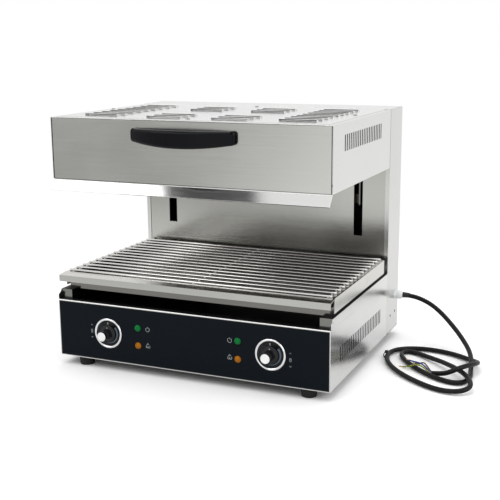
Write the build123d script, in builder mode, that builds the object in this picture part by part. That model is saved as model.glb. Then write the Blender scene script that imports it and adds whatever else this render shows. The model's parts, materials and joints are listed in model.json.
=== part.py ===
from build123d import *
from math import atan, cos, degrees, floor, pi, radians, sin, sqrt, tan
import os

os.makedirs("parts", exist_ok=True)

# A cheese melter: an electric grill whose hood rises and falls in front of a column. Millimetres.
# X runs along the width, -Y is the front, Z is up and the feet stand on Z = 0.
casing_width = 600.0
casing_height = 501.0
foot_height = 20.0
casing_depth = 478.0
column_depth = 94.0
knob_reach = 30.0
sheet = 1.2

half_width = casing_width / 2
inner_width = half_width - sheet
back_y = (casing_depth + knob_reach) / 2
front_y = back_y - casing_depth
column_y = back_y - column_depth
casing_top = foot_height + casing_height

# Base with the controls
panel_height = 121.5
base_top = foot_height + panel_height
fascia_return = 15.0
floor_flange = 12.0
ear_height = 14.0
ear_length = 36.0
ear_blunt = 7.0
deck_drop = 16.0
deck_flange = 12.0
vent_pitch = 11.8
vent_width = 4.6
vent_height = 30.0
base_vents = 24
base_vent_y = -166.0
base_vent_z = 64.0

# Control panel
overlay_edge = 3.5
overlay_top = 4.5
overlay_thickness = 0.6
overlay_corner = 2.0
dial_x = half_width - 120.0
dial_z = 81.0
bezel_diameter = 64.0
bezel_bore = 53.0
bezel_height = 4.0
dial_thickness = 1.2
dial_clearance = 0.15
shaft_hole = 11.0
regulator_size = 34.0
regulator_depth = 30.0
regulator_corner = 3.0
regulator_tabs = (-10.0, -3.5, 3.5, 10.0)
tab_thickness = 0.8
tab_width = 6.4
tab_length = 8.0
spindle_diameter = 6.0
spindle_clearance = 0.06
spindle_length = 34.0
spindle_grip = 14.0
knob_gap = 0.4
skirt_diameter = 34.0
skirt_height = 2.5
stem_diameter = 21.0
stem_top_diameter = 20.4
cap_diameter = 19.0
cap_height = 1.2
cap_recess = 1.0
pointer_width = 3.0
pointer_height = 2.0
lamp_x = half_width - 189.0
green_lamp_z = 99.5
amber_lamp_z = 62.5
lamp_hole = 10.0
lamp_lens = 13.5
lamp_dome = 3.0
lamp_length = 20.0
lamp_nut = 14.0
lamp_nut_height = 4.0

# Feet
foot_diameter = 33.0
foot_taper = 1.5
foot_x = half_width - 50.0
front_foot_y = -202.0
rear_foot_y = 222.0
foot_bolt = 6.0
foot_bolt_grip = 14.0

# Terminal block
terminal_x = half_width - 106.0
terminal_y = 188.0
terminal_length = 42.0
terminal_depth = 20.0
terminal_height = 22.0
terminal_count = 3
terminal_pitch = 11.0
terminal_end = 10.0
terminal_way = 6.0
terminal_way_rise = 9.0
terminal_way_depth = 12.0
terminal_clamp = 5.0

# Column
column_return = 9.2
rear_return = 16.0
slot_x = half_width - 70.0
slot_width = 20.0
slot_bottom = 242.0
slot_top = 502.0
rear_head = 2.0
rear_vents = 14
rear_vent_pitch = 16.0
rear_vent_width = 5.0
rear_vent_height = 46.0
rear_vent_low_z = 96.0
rear_vent_high_z = 440.0
screw_diameter = 4.0
screw_head = 8.0
rear_screw_inset = 8.0
side_screw_places = [(191.6, 56.7), (228.0, 58.5)]
rear_screw_heights = [50.0, 190.0, 350.0, casing_top - 21.0]

# Rods, pulleys and the counterweight
rod_diameter = 12.0
rod_x = half_width - 95.0
rod_y = 187.0
rod_fit = 0.05
rod_low = 152.0
rod_high = 508.0
bracket_sheet = 3.0
bracket_width = 24.0
bracket_leg = 14.0
bracket_reach = 38.0
rope_x = half_width - 122.0
rope_diameter = 3.0
pulley_pitch_radius = 22.0
pulley_radius = 25.0
pulley_width = 10.0
pulley_z = 488.0
pulley_cheek_gap = 0.6
cheek_sheet = 2.0
cheek_width = 24.0
axle_diameter = 8.0
axle_fit = 0.05
axle_head = 12.0
axle_head_height = 2.0
rope_clearance = 0.3
hood_travel = 130.0
weight_length = 2 * (half_width - 52.0)
weight_thickness = 28.0
weight_height = 78.0
weight_low = 78.0
weight_edge = 2.0
guide_clearance = 0.6
guide_sheet = 1.5
guide_depth = 11.0
guide_margin = 12.0
weight_y = rod_y + 2 * pulley_pitch_radius

# Hood
hood_depth = 379.0
hood_gap = 1.5
hood_height = 125.5
hood_flange = 30.0
hood_return = 14.0
hood_return_low = 413.0
hood_seam = 1.5
hood_vents = 21
hood_vent_y = -152.0
hood_vent_z = 467.0
hood_edge = 1.6
cover_side = 10.0
cover_front = 8.0
louvre_length = 76.0
louvre_depth = 13.0
louvre_height = 4.5
louvre_skin = 0.8
louvre_lean = 1.0
louvre_crest = 3.0
outer_louvre_x = [94.0 - half_width, half_width - 84.0]
outer_louvres = 9
outer_louvre_y = -172.0
outer_louvre_pitch = 31.5
inner_louvre_x = [outer_louvre_x[0] + 150.0, outer_louvre_x[1] - 132.0]
inner_louvre_pitch = 31.5
inner_louvres = 3
inner_louvre_front_y = -187.0
inner_louvre_rear_y = 2.0
cover_screw_inset = 14.0
cover_screw_y = -17.0
lip_low = 375.0
lip_tab = 14.0
lip_reach = 15.0
lip_hem = 4.0
lip_side = 1.5
handle_half = 113.0
handle_low = 469.0
handle_high = 503.5
handle_reach = 32.0
handle_thick = 14.0
handle_end = 22.0
handle_round = 6.0
handle_heel = 3.0
handle_shoulder = 7.0
handle_corner = 3.5
handle_bolt_depth = 12.0
reflector_half = half_width - 17.0
reflector_front = -198.0
reflector_back = 126.0
reflector_low = 402.0
reflector_rise = 36.0
reflector_slope = 26.0
reflector_sheet = 1.0
reflector_flange = 14.0
mat_height = 24.0
mat_inset = 6.0
element_diameter = 8.0
element_z = 412.0
element_first_x = 36.0
element_runs = 4
element_pitch = (half_width - 54.0 - element_first_x) / (element_runs - 1)
element_front = -146.0
element_back = 72.0
element_tail = 138.0
hanger_sheet = 1.5
hanger_width = 10.0
hanger_places = [-120.0, 30.0]

# Lift arms
arm_sheet = 3.0
arm_front = 142.0
arm_rear = 196.0
arm_neck = 171.0
arm_low = 302.0
arm_round = 8.0
arm_margin = 4.0
arm_foot = 20.0
arm_slot_clearance = 1.0
bush_height = 20.0
bush_width = 24.0
low_bush_z = 312.0
high_bush_z = 452.0
hood_bolt = 5.0
hood_bolt_head = 9.0
hood_bolt_head_height = 3.0
arm_bolt_inset = 18.0

# Tray, rails and grid
rail_height = 19.5
rail_flange = 24.8
rail_hem = 13.0
rail_front = -211.7
tray_half = half_width - 12.0
tray_fold = 9.0
tray_front = -195.0
tray_back = 142.0
tray_top = 195.5
tray_skirt = 5.0
tray_rim_half = half_width - 2.0
tray_rim_reach = 25.0
tray_rim_drop = 2.8
tray_rim_face = 13.2
rod_count = 14
grid_wire = 5.0
grid_pitch = 25.0
grid_overhang = 3.0
grid_weld = 0.5
runner_x = tray_half - 5.5

# Mains lead
cord_diameter = 10.0
cord_fit = 0.1
gland_y = 226.0
gland_z = 99.0
gland_diameter = 19.5
gland_tip = 16.5
gland_reach = 20.0
gland_collar = 22.0
gland_collar_height = 4.0
gland_thread = 15.8
gland_inside = 13.0
gland_grip = 8.0
locknut_size = 22.0
locknut_height = 5.0
core_diameter = 3.1
core_spacing = 3.3
core_steps = [(0.0, 0.0), (9.0, 0.0), (20.0, 0.1), (34.0, 0.35), (48.0, 0.7), (61.0, 0.9), (73.0, 1.0)]
core_fall = (0.0, 0.0, 6.5, 10.4, 6.0, -2.2, -3.8)
core_perch = (0.0, 0.0, 6.5, 10.4, 9.4, 7.4, 6.6)
core_lanes = [(-1, -16.0, core_fall), (0, -2.0, core_perch), (1, 13.0, core_fall)]
tie_width = 5.0
tie_thickness = 1.5
tie_clearance = 0.1
tie_head = 6.0

# The loops of the lead on the floor: quarter turns clockwise from above, each with its reach from
# the coil's middle and its sideways shift, and the humps where a loop passes over another.
coil_middle = (437.0, 28.0)
coil_lean = -43.0
coil_reach = [60.0, 98.0, 40.0, 113.0, 42.0, 146.0, 80.0, 131.0, 98.0, 74.0, 22.0]
coil_shift = [0.0, 0.0, 6.0, 4.0, -14.0, -20.0, 0.0, 0.0, 0.0, 4.0, 0.0]
coil_start = 0.55
coil_end = 9.75
coil_steps = 23
coil_rest = 5.6
coil_humps = [(4.45, 1.0, 11.4), (6.6, 0.8, 1.6), (8.85, 0.95, 22.6)]
tie_turn = 6.6


def block(low, high, mode=Mode.ADD):
    """A box between two opposite corners, added to the open part."""
    size = [high[i] - low[i] for i in range(3)]
    middle = [(high[i] + low[i]) / 2 for i in range(3)]
    with Locations(Location(tuple(middle))):
        Box(*size, mode=mode)


def folded(points, thickness):
    """The closed outline of a folded sheet: its outer line and the line one thickness to its left."""
    count = len(points)
    inner = []
    for i in range(count):
        before = points[max(i - 1, 0)]
        here = points[i]
        after = points[min(i + 1, count - 1)]
        start = (Vector(*here) - Vector(*before)) if i > 0 else (Vector(*after) - Vector(*here))
        end = (Vector(*after) - Vector(*here)) if i < count - 1 else start
        start = start.normalized()
        end = end.normalized()
        normal = Vector(-start.Y - end.Y, start.X + end.X)
        reach = thickness / (normal.X * -start.Y + normal.Y * start.X)
        inner.append((here[0] + normal.X * reach, here[1] + normal.Y * reach))
    return list(points) + inner[::-1]


def extruded(plane, outline, length, mode=Mode.ADD):
    """A straight profile through a closed outline, from its plane."""
    with BuildSketch(plane) as drawn:
        with BuildLine():
            Polyline(*outline, close=True)
        make_face()
    extrude(drawn.sketch, amount=length, mode=mode)


def across(x):
    """The plane at x, whose own axes are the object's Y and Z."""
    return Plane(origin=(x, 0, 0), x_dir=(0, 1, 0), z_dir=(1, 0, 0))


def facing(y):
    """The plane at y, whose own axes are the object's X and Z, and which looks to the front."""
    return Plane(origin=(0, y, 0), x_dir=(1, 0, 0), z_dir=(0, -1, 0))


def level(z):
    """The level plane at z."""
    return Plane(origin=(0, 0, z))


def holes(plane, places, diameter, depth):
    """Round holes from a plane, through the open part."""
    with BuildSketch(plane) as drawn:
        with Locations(*places):
            Circle(diameter / 2)
    extrude(drawn.sketch, amount=depth, mode=Mode.SUBTRACT)


def pins(plane, places, diameter, length):
    """Round pins from a plane."""
    with BuildSketch(plane) as drawn:
        with Locations(*places):
            Circle(diameter / 2)
    extrude(drawn.sketch, amount=length)


def slots(plane, first, bottom, count, pitch, width, height, depth):
    """A row of upright slots through a sheet."""
    with BuildSketch(plane) as drawn:
        with Locations(*[(first + pitch * i, bottom + height / 2) for i in range(count)]):
            Rectangle(width, height)
    extrude(drawn.sketch, amount=depth, both=True, mode=Mode.SUBTRACT)


def save(part, name):
    part.label = name
    export_step(part, "parts/" + name + ".step")


def sides():
    return [("left", -1), ("right", 1)]


# Casing base -------------------------------------------------------------------------------
skin_y = front_y + sheet
cover_y = back_y - rear_head
return_y = cover_y - sheet
deck_top = base_top - deck_drop
feet_places = [(x, y) for x in (-foot_x, foot_x) for y in (front_foot_y, rear_foot_y)]

with BuildPart() as bottom_plate:
    tray_profile = [
        (-inner_width, foot_height + floor_flange),
        (-inner_width, foot_height),
        (inner_width, foot_height),
        (inner_width, foot_height + floor_flange),
    ]
    extruded(facing(column_y), folded(tray_profile, sheet), column_y - skin_y)
    block((-half_width, column_y, foot_height), (half_width, cover_y, foot_height + sheet))
    holes(level(foot_height), feet_places, foot_bolt, sheet)
save(bottom_plate.part, "bottom_plate")

side_outline = [
    (skin_y, foot_height),
    (column_y, foot_height),
    (column_y, base_top),
    (skin_y + ear_length, base_top),
    (skin_y + ear_blunt, base_top + ear_height),
    (skin_y, base_top + ear_height - ear_blunt / 2),
]
for side, sign in sides():
    with BuildPart() as base_side:
        extruded(across(sign * half_width), side_outline, -sign * sheet)
        slots(across(sign * half_width), base_vent_y, base_vent_z, base_vents, vent_pitch,
              vent_width, vent_height, sheet)
    save(base_side.part, "base_side_" + side)

dial_places = [(-dial_x, dial_z), (dial_x, dial_z)]
green_places = [(-lamp_x, green_lamp_z), (lamp_x, green_lamp_z)]
amber_places = [(-lamp_x, amber_lamp_z), (lamp_x, amber_lamp_z)]
with BuildPart() as control_fascia:
    fold = [(front_y, foot_height), (front_y, base_top), (front_y + fascia_return, base_top)]
    extruded(across(-inner_width), folded(fold, -sheet), 2 * inner_width)
    block((-half_width, front_y, foot_height), (half_width, skin_y, base_top))
    bend = control_fascia.edges().filter_by(Axis.X).group_by(Axis.Z)[-1].group_by(Axis.Y)[0]
    fillet(bend, sheet * 0.9)
    holes(facing(skin_y), dial_places, shaft_hole, sheet)
    holes(facing(skin_y), green_places + amber_places, lamp_hole, sheet)
save(control_fascia.part, "control_fascia")

overlay_y = front_y - overlay_thickness
with BuildPart() as control_overlay:
    low = foot_height + overlay_edge
    high = base_top - overlay_top
    with BuildSketch(facing(front_y)):
        with Locations((0, (low + high) / 2)):
            RectangleRounded(casing_width - 2 * overlay_edge, high - low, overlay_corner)
        with Locations(*dial_places):
            Circle(shaft_hole / 2, mode=Mode.SUBTRACT)
        with Locations(*(green_places + amber_places)):
            Circle(lamp_hole / 2, mode=Mode.SUBTRACT)
    extrude(amount=overlay_thickness)
save(control_overlay.part, "control_overlay")

with BuildPart() as base_deck:
    profile = [
        (-inner_width, deck_top - deck_flange),
        (-inner_width, deck_top),
        (inner_width, deck_top),
        (inner_width, deck_top - deck_flange),
    ]
    extruded(facing(column_y), folded(profile, -sheet), column_y - skin_y)
save(base_deck.part, "base_deck")

with BuildPart() as feet:
    with BuildSketch(Plane.XY):
        with Locations(*feet_places):
            Circle(foot_diameter / 2 - foot_taper)
    extrude(amount=foot_height, taper=-degrees(atan(foot_taper / foot_height)))
    holes(level(foot_height - foot_bolt_grip), feet_places, foot_bolt, foot_bolt_grip)
save(feet.part, "feet")

# Dials, knobs and lamps --------------------------------------------------------------------
with BuildPart() as dial_bezels:
    middle = (bezel_diameter + bezel_bore) / 4
    rim = (bezel_diameter - bezel_bore) / 2
    for x in (-dial_x, dial_x):
        with BuildSketch(Plane(origin=(x, overlay_y, dial_z), x_dir=(1, 0, 0), z_dir=(0, 0, 1))):
            with BuildLine():
                low_in = Line((bezel_bore / 2, 0), (bezel_bore / 2, -bezel_height * 0.55))
                ThreePointArc(low_in @ 1, (middle, -bezel_height), (middle + rim / 2, -bezel_height * 0.45))
                Line((bezel_diameter / 2, -bezel_height * 0.45), (bezel_diameter / 2, 0))
                Line((bezel_diameter / 2, 0), (bezel_bore / 2, 0))
            make_face()
        revolve(axis=Axis((x, 0, dial_z), (0, 1, 0)))
save(dial_bezels.part, "dial_bezels")

dial_face_y = overlay_y - dial_thickness
with BuildPart() as dial_plates:
    pins(facing(overlay_y), dial_places, bezel_bore - 2 * dial_clearance, dial_thickness)
    holes(facing(overlay_y), dial_places, shaft_hole, dial_thickness)
save(dial_plates.part, "dial_plates")

skirt_back_y = dial_face_y - knob_gap
cap_front_y = front_y - knob_reach
stem_front_y = cap_front_y + cap_height
spindle_front_y = skirt_back_y - spindle_grip
spindle_bore = spindle_diameter + 2 * spindle_clearance
regulator_back_y = skin_y + regulator_depth
with BuildPart() as energy_regulators:
    with BuildSketch(facing(regulator_back_y)):
        with Locations(*dial_places):
            RectangleRounded(regulator_size, regulator_size, regulator_corner)
    extrude(amount=regulator_depth)
    pins(facing(skin_y), dial_places, shaft_hole, skin_y - dial_face_y)
    holes(facing(spindle_front_y + spindle_length), dial_places, spindle_bore, spindle_length)
    for x in (-dial_x, dial_x):
        for offset in regulator_tabs:
            block(
                (x + offset - tab_thickness / 2, regulator_back_y, dial_z - tab_width / 2),
                (x + offset + tab_thickness / 2, regulator_back_y + tab_length, dial_z + tab_width / 2),
            )
save(energy_regulators.part, "energy_regulators")

for side, sign in sides():
    knob_axis = Axis((sign * dial_x, 0, dial_z), (0, 1, 0))
    knob_plane = Plane(origin=(sign * dial_x, 0, dial_z), x_dir=(1, 0, 0), z_dir=(0, 0, 1))
    with BuildPart() as knob:
        skirt_front_y = skirt_back_y - skirt_height
        with BuildSketch(knob_plane):
            Polygon(
                (spindle_diameter / 2, skirt_back_y),
                (spindle_diameter / 2, spindle_front_y),
                (0, spindle_front_y),
                (0, stem_front_y),
                (cap_diameter / 2, stem_front_y),
                (cap_diameter / 2, stem_front_y - cap_recess),
                (stem_top_diameter / 2, stem_front_y - cap_recess),
                (stem_diameter / 2, skirt_front_y),
                (skirt_diameter / 2 - 0.6, skirt_front_y),
                (skirt_diameter / 2, skirt_back_y),
                align=None,
            )
        revolve(axis=knob_axis)
        pointer_low = dial_z + stem_diameter / 2 - 1.0
        block(
            (sign * dial_x - pointer_width / 2, skirt_front_y - pointer_height, pointer_low),
            (sign * dial_x + pointer_width / 2, skirt_front_y, dial_z + skirt_diameter / 2 - 1.0),
        )
    save(knob.part, "knob_" + side)

    with BuildPart() as knob_cap:
        pins(facing(stem_front_y), [(sign * dial_x, dial_z)], cap_diameter, cap_height)
        chamfer(knob_cap.edges().group_by(Axis.Y)[0], cap_height / 3)
    save(knob_cap.part, "knob_cap_" + side)

    with BuildPart() as knob_spindle:
        back = spindle_front_y + spindle_length - 1.0
        pins(facing(back), [(sign * dial_x, dial_z)], spindle_diameter, back - spindle_front_y)
    save(knob_spindle.part, "knob_spindle_" + side)

for name, places in (("green_lamps", green_places), ("amber_lamps", amber_places)):
    with BuildPart() as lamps:
        for x, z in places:
            with BuildSketch(Plane(origin=(x, overlay_y, z), x_dir=(1, 0, 0), z_dir=(0, 0, 1))):
                with BuildLine():
                    shoulder = (lamp_lens * 0.33, -lamp_dome * 0.72)
                    dome = ThreePointArc((0, -lamp_dome), shoulder, (lamp_lens / 2, 0))
                    nut_y = skin_y - overlay_y
                    Polyline(
                        dome @ 1,
                        (lamp_hole / 2, 0),
                        (lamp_hole / 2, nut_y),
                        (lamp_nut / 2, nut_y),
                        (lamp_nut / 2, nut_y + lamp_nut_height),
                        (lamp_hole / 2, nut_y + lamp_nut_height),
                        (lamp_hole / 2, lamp_length),
                        (0, lamp_length),
                        (0, -lamp_dome),
                    )
                make_face()
            revolve(axis=Axis((x, 0, z), (0, 1, 0)))
    save(lamps.part, name)

with BuildPart() as terminal_block:
    terminal_low = foot_height + sheet
    terminal_top = terminal_low + terminal_height
    terminal_back = terminal_y + terminal_depth
    terminal_right = terminal_x + terminal_length
    block((terminal_x, terminal_y, terminal_low), (terminal_right, terminal_back, terminal_top))
    ways = [terminal_x + terminal_end + terminal_pitch * i for i in range(terminal_count)]
    openings = [(x, terminal_low + terminal_way_rise) for x in ways]
    holes(facing(terminal_back), openings, terminal_way, terminal_way_depth)
    clamps = [(x, terminal_y + terminal_depth / 2) for x in ways]
    holes(level(terminal_top - terminal_way), clamps, terminal_clamp, terminal_way)
save(terminal_block.part, "terminal_block")

# Column ------------------------------------------------------------------------------------
gland_place = [(gland_y, gland_z)]
return_screws = [(sign * (half_width - rear_screw_inset), z) for sign in (-1, 1)
                 for z in rear_screw_heights]
column_foot = foot_height + sheet
cap_low = casing_top - sheet
for side, sign in sides():
    with BuildPart() as column_side:
        channel = [
            (sign * (half_width - column_return), column_y),
            (sign * half_width, column_y),
            (sign * half_width, cover_y - sheet),
            (sign * (half_width - rear_return), cover_y - sheet),
        ]
        extruded(level(column_foot), folded(channel, sign * sheet), cap_low - column_foot)
        holes(across(sign * inner_width), side_screw_places, screw_diameter, sign * sheet)
        holes(facing(return_y), return_screws, screw_diameter, sheet)
        if sign > 0:
            holes(across(inner_width), gland_place, gland_thread, sheet)
    save(column_side.part, "column_side_" + side)

slot_panel_y = column_y + sheet
slot_centre_z = (slot_bottom + slot_top) / 2
with BuildPart() as lift_slot_panel:
    block((-inner_width, slot_panel_y, deck_top - sheet), (inner_width, slot_panel_y + sheet, cap_low))
    with BuildSketch(facing(slot_panel_y)):
        with Locations((-slot_x, slot_centre_z), (slot_x, slot_centre_z)):
            Rectangle(slot_width, slot_top - slot_bottom)
    extrude(amount=-sheet, mode=Mode.SUBTRACT)
save(lift_slot_panel.part, "lift_slot_panel")

with BuildPart() as column_top_cap:
    block((-half_width, column_y, cap_low), (half_width, cover_y, casing_top))
    chamfer(column_top_cap.edges().group_by(Axis.Z)[-1], sheet / 3)
save(column_top_cap.part, "column_top_cap")

with BuildPart() as rear_cover:
    block((-half_width, return_y, column_foot), (half_width, cover_y, cap_low))
    first = -rear_vent_pitch * (rear_vents - 1) / 2
    for low in (rear_vent_low_z, rear_vent_high_z):
        slots(facing(return_y), first, low, rear_vents, rear_vent_pitch,
              rear_vent_width, rear_vent_height, sheet)
    holes(facing(cover_y), return_screws, screw_diameter, sheet)
save(rear_cover.part, "rear_cover")

with BuildPart() as casing_screws:
    pins(facing(back_y), return_screws, screw_head, rear_head)
    pins(facing(cover_y), return_screws, screw_diameter, 8.0)
    for sign in (-1, 1):
        pins(across(sign * half_width), side_screw_places, screw_diameter, -sign * 8.0)
        pins(across(sign * (half_width + 0.6)), side_screw_places, screw_head * 0.8, -sign * 0.6)
save(casing_screws.part, "casing_screws")

# Guide rods and rope gear ------------------------------------------------------------------
rod_places = [(-rod_x, rod_y), (rod_x, rod_y)]
with BuildPart() as guide_rods:
    pins(level(rod_low), rod_places, rod_diameter, rod_high - rod_low)
    chamfer(guide_rods.edges().filter_by(GeomType.CIRCLE), 1.0)
save(guide_rods.part, "guide_rods")

bracket_y = slot_panel_y + sheet
with BuildPart() as rod_brackets:
    for x, y in rod_places:
        for tip, turn in ((rod_low + 5.0, 1), (rod_high - 5.0, -1)):
            leg = [
                (bracket_y, tip - turn * bracket_leg),
                (bracket_y, tip),
                (bracket_y + bracket_reach, tip),
            ]
            extruded(across(x - bracket_width / 2), folded(leg, -turn * bracket_sheet), bracket_width)
    holes(level(rod_low), rod_places, rod_diameter, rod_high - rod_low)
save(rod_brackets.part, "rod_brackets")

pulley_y = rod_y + pulley_pitch_radius
cheek_in = pulley_width / 2 + pulley_cheek_gap
cheek_out = cheek_in + cheek_sheet
with BuildPart() as pulley_brackets:
    for sign in (-1, 1):
        middle = sign * rope_x
        cheek_low = pulley_z - cheek_width / 2
        hanger = [
            (middle - cheek_out, cheek_low),
            (middle - cheek_out, cap_low),
            (middle + cheek_out, cap_low),
            (middle + cheek_out, cheek_low),
        ]
        extruded(facing(pulley_y + cheek_width / 2), folded(hanger, -cheek_sheet), cheek_width)
        holes(across(middle - cheek_out), [(pulley_y, pulley_z)], axle_diameter, 2 * cheek_out)
    lower = pulley_brackets.edges().filter_by(Axis.X).group_by(Axis.Z)[0]
    fillet(lower, cheek_width / 2 - 0.5)
save(pulley_brackets.part, "pulley_brackets")

with BuildPart() as pulley_axles:
    for sign in (-1, 1):
        start = sign * rope_x - cheek_out
        pins(across(start), [(pulley_y, pulley_z)], axle_diameter, 2 * cheek_out)
        pins(across(start - axle_head_height), [(pulley_y, pulley_z)], axle_head, axle_head_height)
        pins(across(start + 2 * cheek_out), [(pulley_y, pulley_z)], axle_head, axle_head_height)
save(pulley_axles.part, "pulley_axles")

with BuildPart() as rope_pulleys:
    groove = rope_diameter / 2 + rope_clearance
    bore = axle_diameter / 2 + axle_fit
    for sign in (-1, 1):
        pulley_plane = Plane(origin=(sign * rope_x, pulley_y, pulley_z), x_dir=(1, 0, 0), z_dir=(0, -1, 0))
        with BuildSketch(pulley_plane):
            half = pulley_width / 2
            with BuildLine():
                lip_z = pulley_radius
                bowl = ThreePointArc(
                    (-groove, pulley_pitch_radius),
                    (0, pulley_pitch_radius - groove),
                    (groove, pulley_pitch_radius),
                )
                Polyline(bowl @ 1, (half * 0.8, lip_z), (half, lip_z), (half, bore), (-half, bore),
                         (-half, lip_z), (-half * 0.8, lip_z), bowl @ 0)
            make_face()
        revolve(axis=Axis((0, pulley_y, pulley_z), (1, 0, 0)))
save(rope_pulleys.part, "rope_pulleys")

rope_places = [(-rope_x, rod_y), (rope_x, rod_y)]
weight_places = [(-rope_x, weight_y), (rope_x, weight_y)]
low_bush_top = low_bush_z + bush_height
weight_top = weight_low + weight_height
with BuildPart() as hood_ropes:
    pins(level(low_bush_top), rope_places, rope_diameter, pulley_z - low_bush_top)
save(hood_ropes.part, "hood_ropes")

with BuildPart() as weight_ropes:
    pins(level(weight_top), weight_places, rope_diameter, pulley_z - weight_top)
save(weight_ropes.part, "weight_ropes")

with BuildPart() as rope_bends:
    for x, y in rope_places:
        with BuildLine():
            ThreePointArc(
                (x, y, pulley_z),
                (x, pulley_y, pulley_z + pulley_pitch_radius),
                (x, weight_y, pulley_z),
            )
        with BuildSketch(Plane(origin=(x, y, pulley_z))):
            Circle(rope_diameter / 2)
        sweep()
save(rope_bends.part, "rope_bends")

with BuildPart() as counterweight:
    half = weight_thickness / 2
    weight_end = weight_length / 2
    block((-weight_end, weight_y - half, weight_low), (weight_end, weight_y + half, weight_top))
    chamfer(counterweight.edges().filter_by(Axis.X), weight_edge)
save(counterweight.part, "counterweight")

with BuildPart() as weight_guides:
    gap = weight_thickness / 2 + guide_clearance
    guide_top = weight_top + hood_travel + guide_margin
    for sign in (-1, 1):
        web = sign * (weight_length / 2 + guide_clearance)
        lips = web - sign * guide_depth
        front = weight_y - gap
        rear = weight_y + gap
        walls = [(lips, front), (web, front), (web, rear), (lips, rear)]
        extruded(level(column_foot), folded(walls, -sign * guide_sheet), guide_top - column_foot)
save(weight_guides.part, "weight_guides")

# Hood --------------------------------------------------------------------------------------
hood_front_y = column_y - hood_depth
hood_back_y = column_y - hood_gap
hood_low = casing_top - hood_height
flange_top = casing_top - sheet
flange_low = flange_top - sheet
front_back_y = hood_front_y + sheet
rear_in_y = hood_back_y - sheet
with BuildPart() as hood_shell:
    block((-half_width, hood_front_y, hood_low), (half_width, hood_back_y, flange_top))
    block((-inner_width, hood_front_y, hood_low), (inner_width, hood_back_y, flange_low), Mode.SUBTRACT)
    opening = half_width - hood_flange
    block(
        (-opening, hood_front_y + hood_flange, flange_low),
        (opening, hood_back_y - hood_flange, flange_top),
        Mode.SUBTRACT,
    )
    top_edges = hood_shell.edges().group_by(Axis.Z)[-1]
    fillet(top_edges.filter_by(Axis.Y).group_by(Axis.X)[0], hood_edge)
    top_edges = hood_shell.edges().group_by(Axis.Z)[-1]
    fillet(top_edges.filter_by(Axis.Y).group_by(Axis.X)[-1], hood_edge)
    for sign in (-1, 1):
        block(
            (min(sign * inner_width, sign * (inner_width - hood_return)), front_back_y, hood_return_low),
            (max(sign * inner_width, sign * (inner_width - hood_return)), front_back_y + sheet, flange_low),
        )
        slots(across(sign * half_width), hood_vent_y, hood_vent_z, hood_vents, vent_pitch,
              vent_width, vent_height, sheet)
save(hood_shell.part, "hood_shell")

front_half = inner_width - hood_seam
with BuildPart() as hood_front:
    block((-front_half, hood_front_y, hood_low), (front_half, front_back_y, flange_low - hood_seam / 3))
    bolt_x = handle_half - handle_end / 2
    bolt_places = [(sign * bolt_x, (handle_low + handle_high) / 2) for sign in (-1, 1)]
    holes(facing(front_back_y), bolt_places, hood_bolt, sheet)
save(hood_front.part, "hood_front")

with BuildPart() as hood_top_cover:
    cover_front_y = hood_front_y + cover_front
    cover_back_y = hood_back_y - cover_front
    cover_half = half_width - cover_side
    block((-cover_half, cover_front_y, flange_top), (cover_half, cover_back_y, casing_top))
    rows = [(x, outer_louvre_y + outer_louvre_pitch * i)
            for x in outer_louvre_x for i in range(outer_louvres)]
    for first_y in (inner_louvre_front_y, inner_louvre_rear_y):
        rows += [(x, first_y + inner_louvre_pitch * i)
                 for x in inner_louvre_x for i in range(inner_louvres)]
    for x, y in rows:
        nose = y - louvre_depth / 2
        crest = casing_top + louvre_height
        wedge = [
            (nose, casing_top),
            (nose + louvre_lean, crest),
            (nose + louvre_crest, crest),
            (y + louvre_depth / 2, casing_top),
        ]
        hollow = [
            (nose - louvre_lean * 0.1, casing_top - sheet),
            (nose + louvre_lean * 0.1, crest - louvre_skin),
            (nose + louvre_crest - louvre_skin * 0.25, crest - louvre_skin),
            (nose + louvre_depth / 2, casing_top + louvre_height * 0.35),
            (nose + 6.5, casing_top - sheet),
        ]
        start = across(x - louvre_length / 2)
        extruded(start, wedge, louvre_length)
        inner = across(x - louvre_length / 2 + louvre_skin)
        extruded(inner, hollow, louvre_length - 2 * louvre_skin, Mode.SUBTRACT)
    cover_screw_places = [
        (-half_width + cover_side + cover_screw_inset, cover_screw_y),
        (half_width - cover_side - cover_screw_inset, cover_screw_y),
        (0.0, cover_front_y + cover_screw_inset),
        (0.0, cover_back_y - cover_screw_inset),
    ]
    holes(level(flange_top), cover_screw_places, screw_diameter, sheet)
save(hood_top_cover.part, "hood_top_cover")

with BuildPart() as cover_screws:
    pins(level(flange_top), cover_screw_places, screw_diameter, sheet)
    pins(level(casing_top), cover_screw_places, screw_head, rear_head)
save(cover_screws.part, "cover_screws")

arm_inner = slot_x - arm_sheet / 2
arm_outer = slot_x + arm_sheet / 2
arm_bottom = hood_low + arm_margin
arm_top = slot_top - arm_margin * 2
bolt_z = [arm_bottom + arm_bolt_inset, arm_top - arm_bolt_inset]
arm_bolts = [(sign * (arm_outer + arm_foot / 2), z) for sign in (-1, 1) for z in bolt_z]
with BuildPart() as hood_rear_panel:
    block((-inner_width, rear_in_y, hood_low), (inner_width, hood_back_y, flange_low))
    with BuildSketch(facing(hood_back_y)):
        with Locations(*[(sign * slot_x, (arm_bottom + arm_top) / 2) for sign in (-1, 1)]):
            Rectangle(arm_sheet + 2 * arm_slot_clearance, arm_top - arm_bottom + 2 * arm_slot_clearance)
    extrude(amount=sheet, mode=Mode.SUBTRACT)
    holes(facing(hood_back_y), arm_bolts, hood_bolt, sheet)
save(hood_rear_panel.part, "hood_rear_panel")

with BuildPart() as hood_lip:
    lip_front_y = hood_front_y - lip_reach
    profile = [
        (front_back_y, hood_low + lip_tab),
        (front_back_y, hood_low - lip_hem / 2),
        (lip_front_y, lip_low),
        (lip_front_y + lip_hem, lip_low - lip_hem / 2),
    ]
    lip_half = half_width - lip_side
    extruded(across(-lip_half), folded(profile, sheet), 2 * lip_half)
save(hood_lip.part, "hood_lip")

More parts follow.
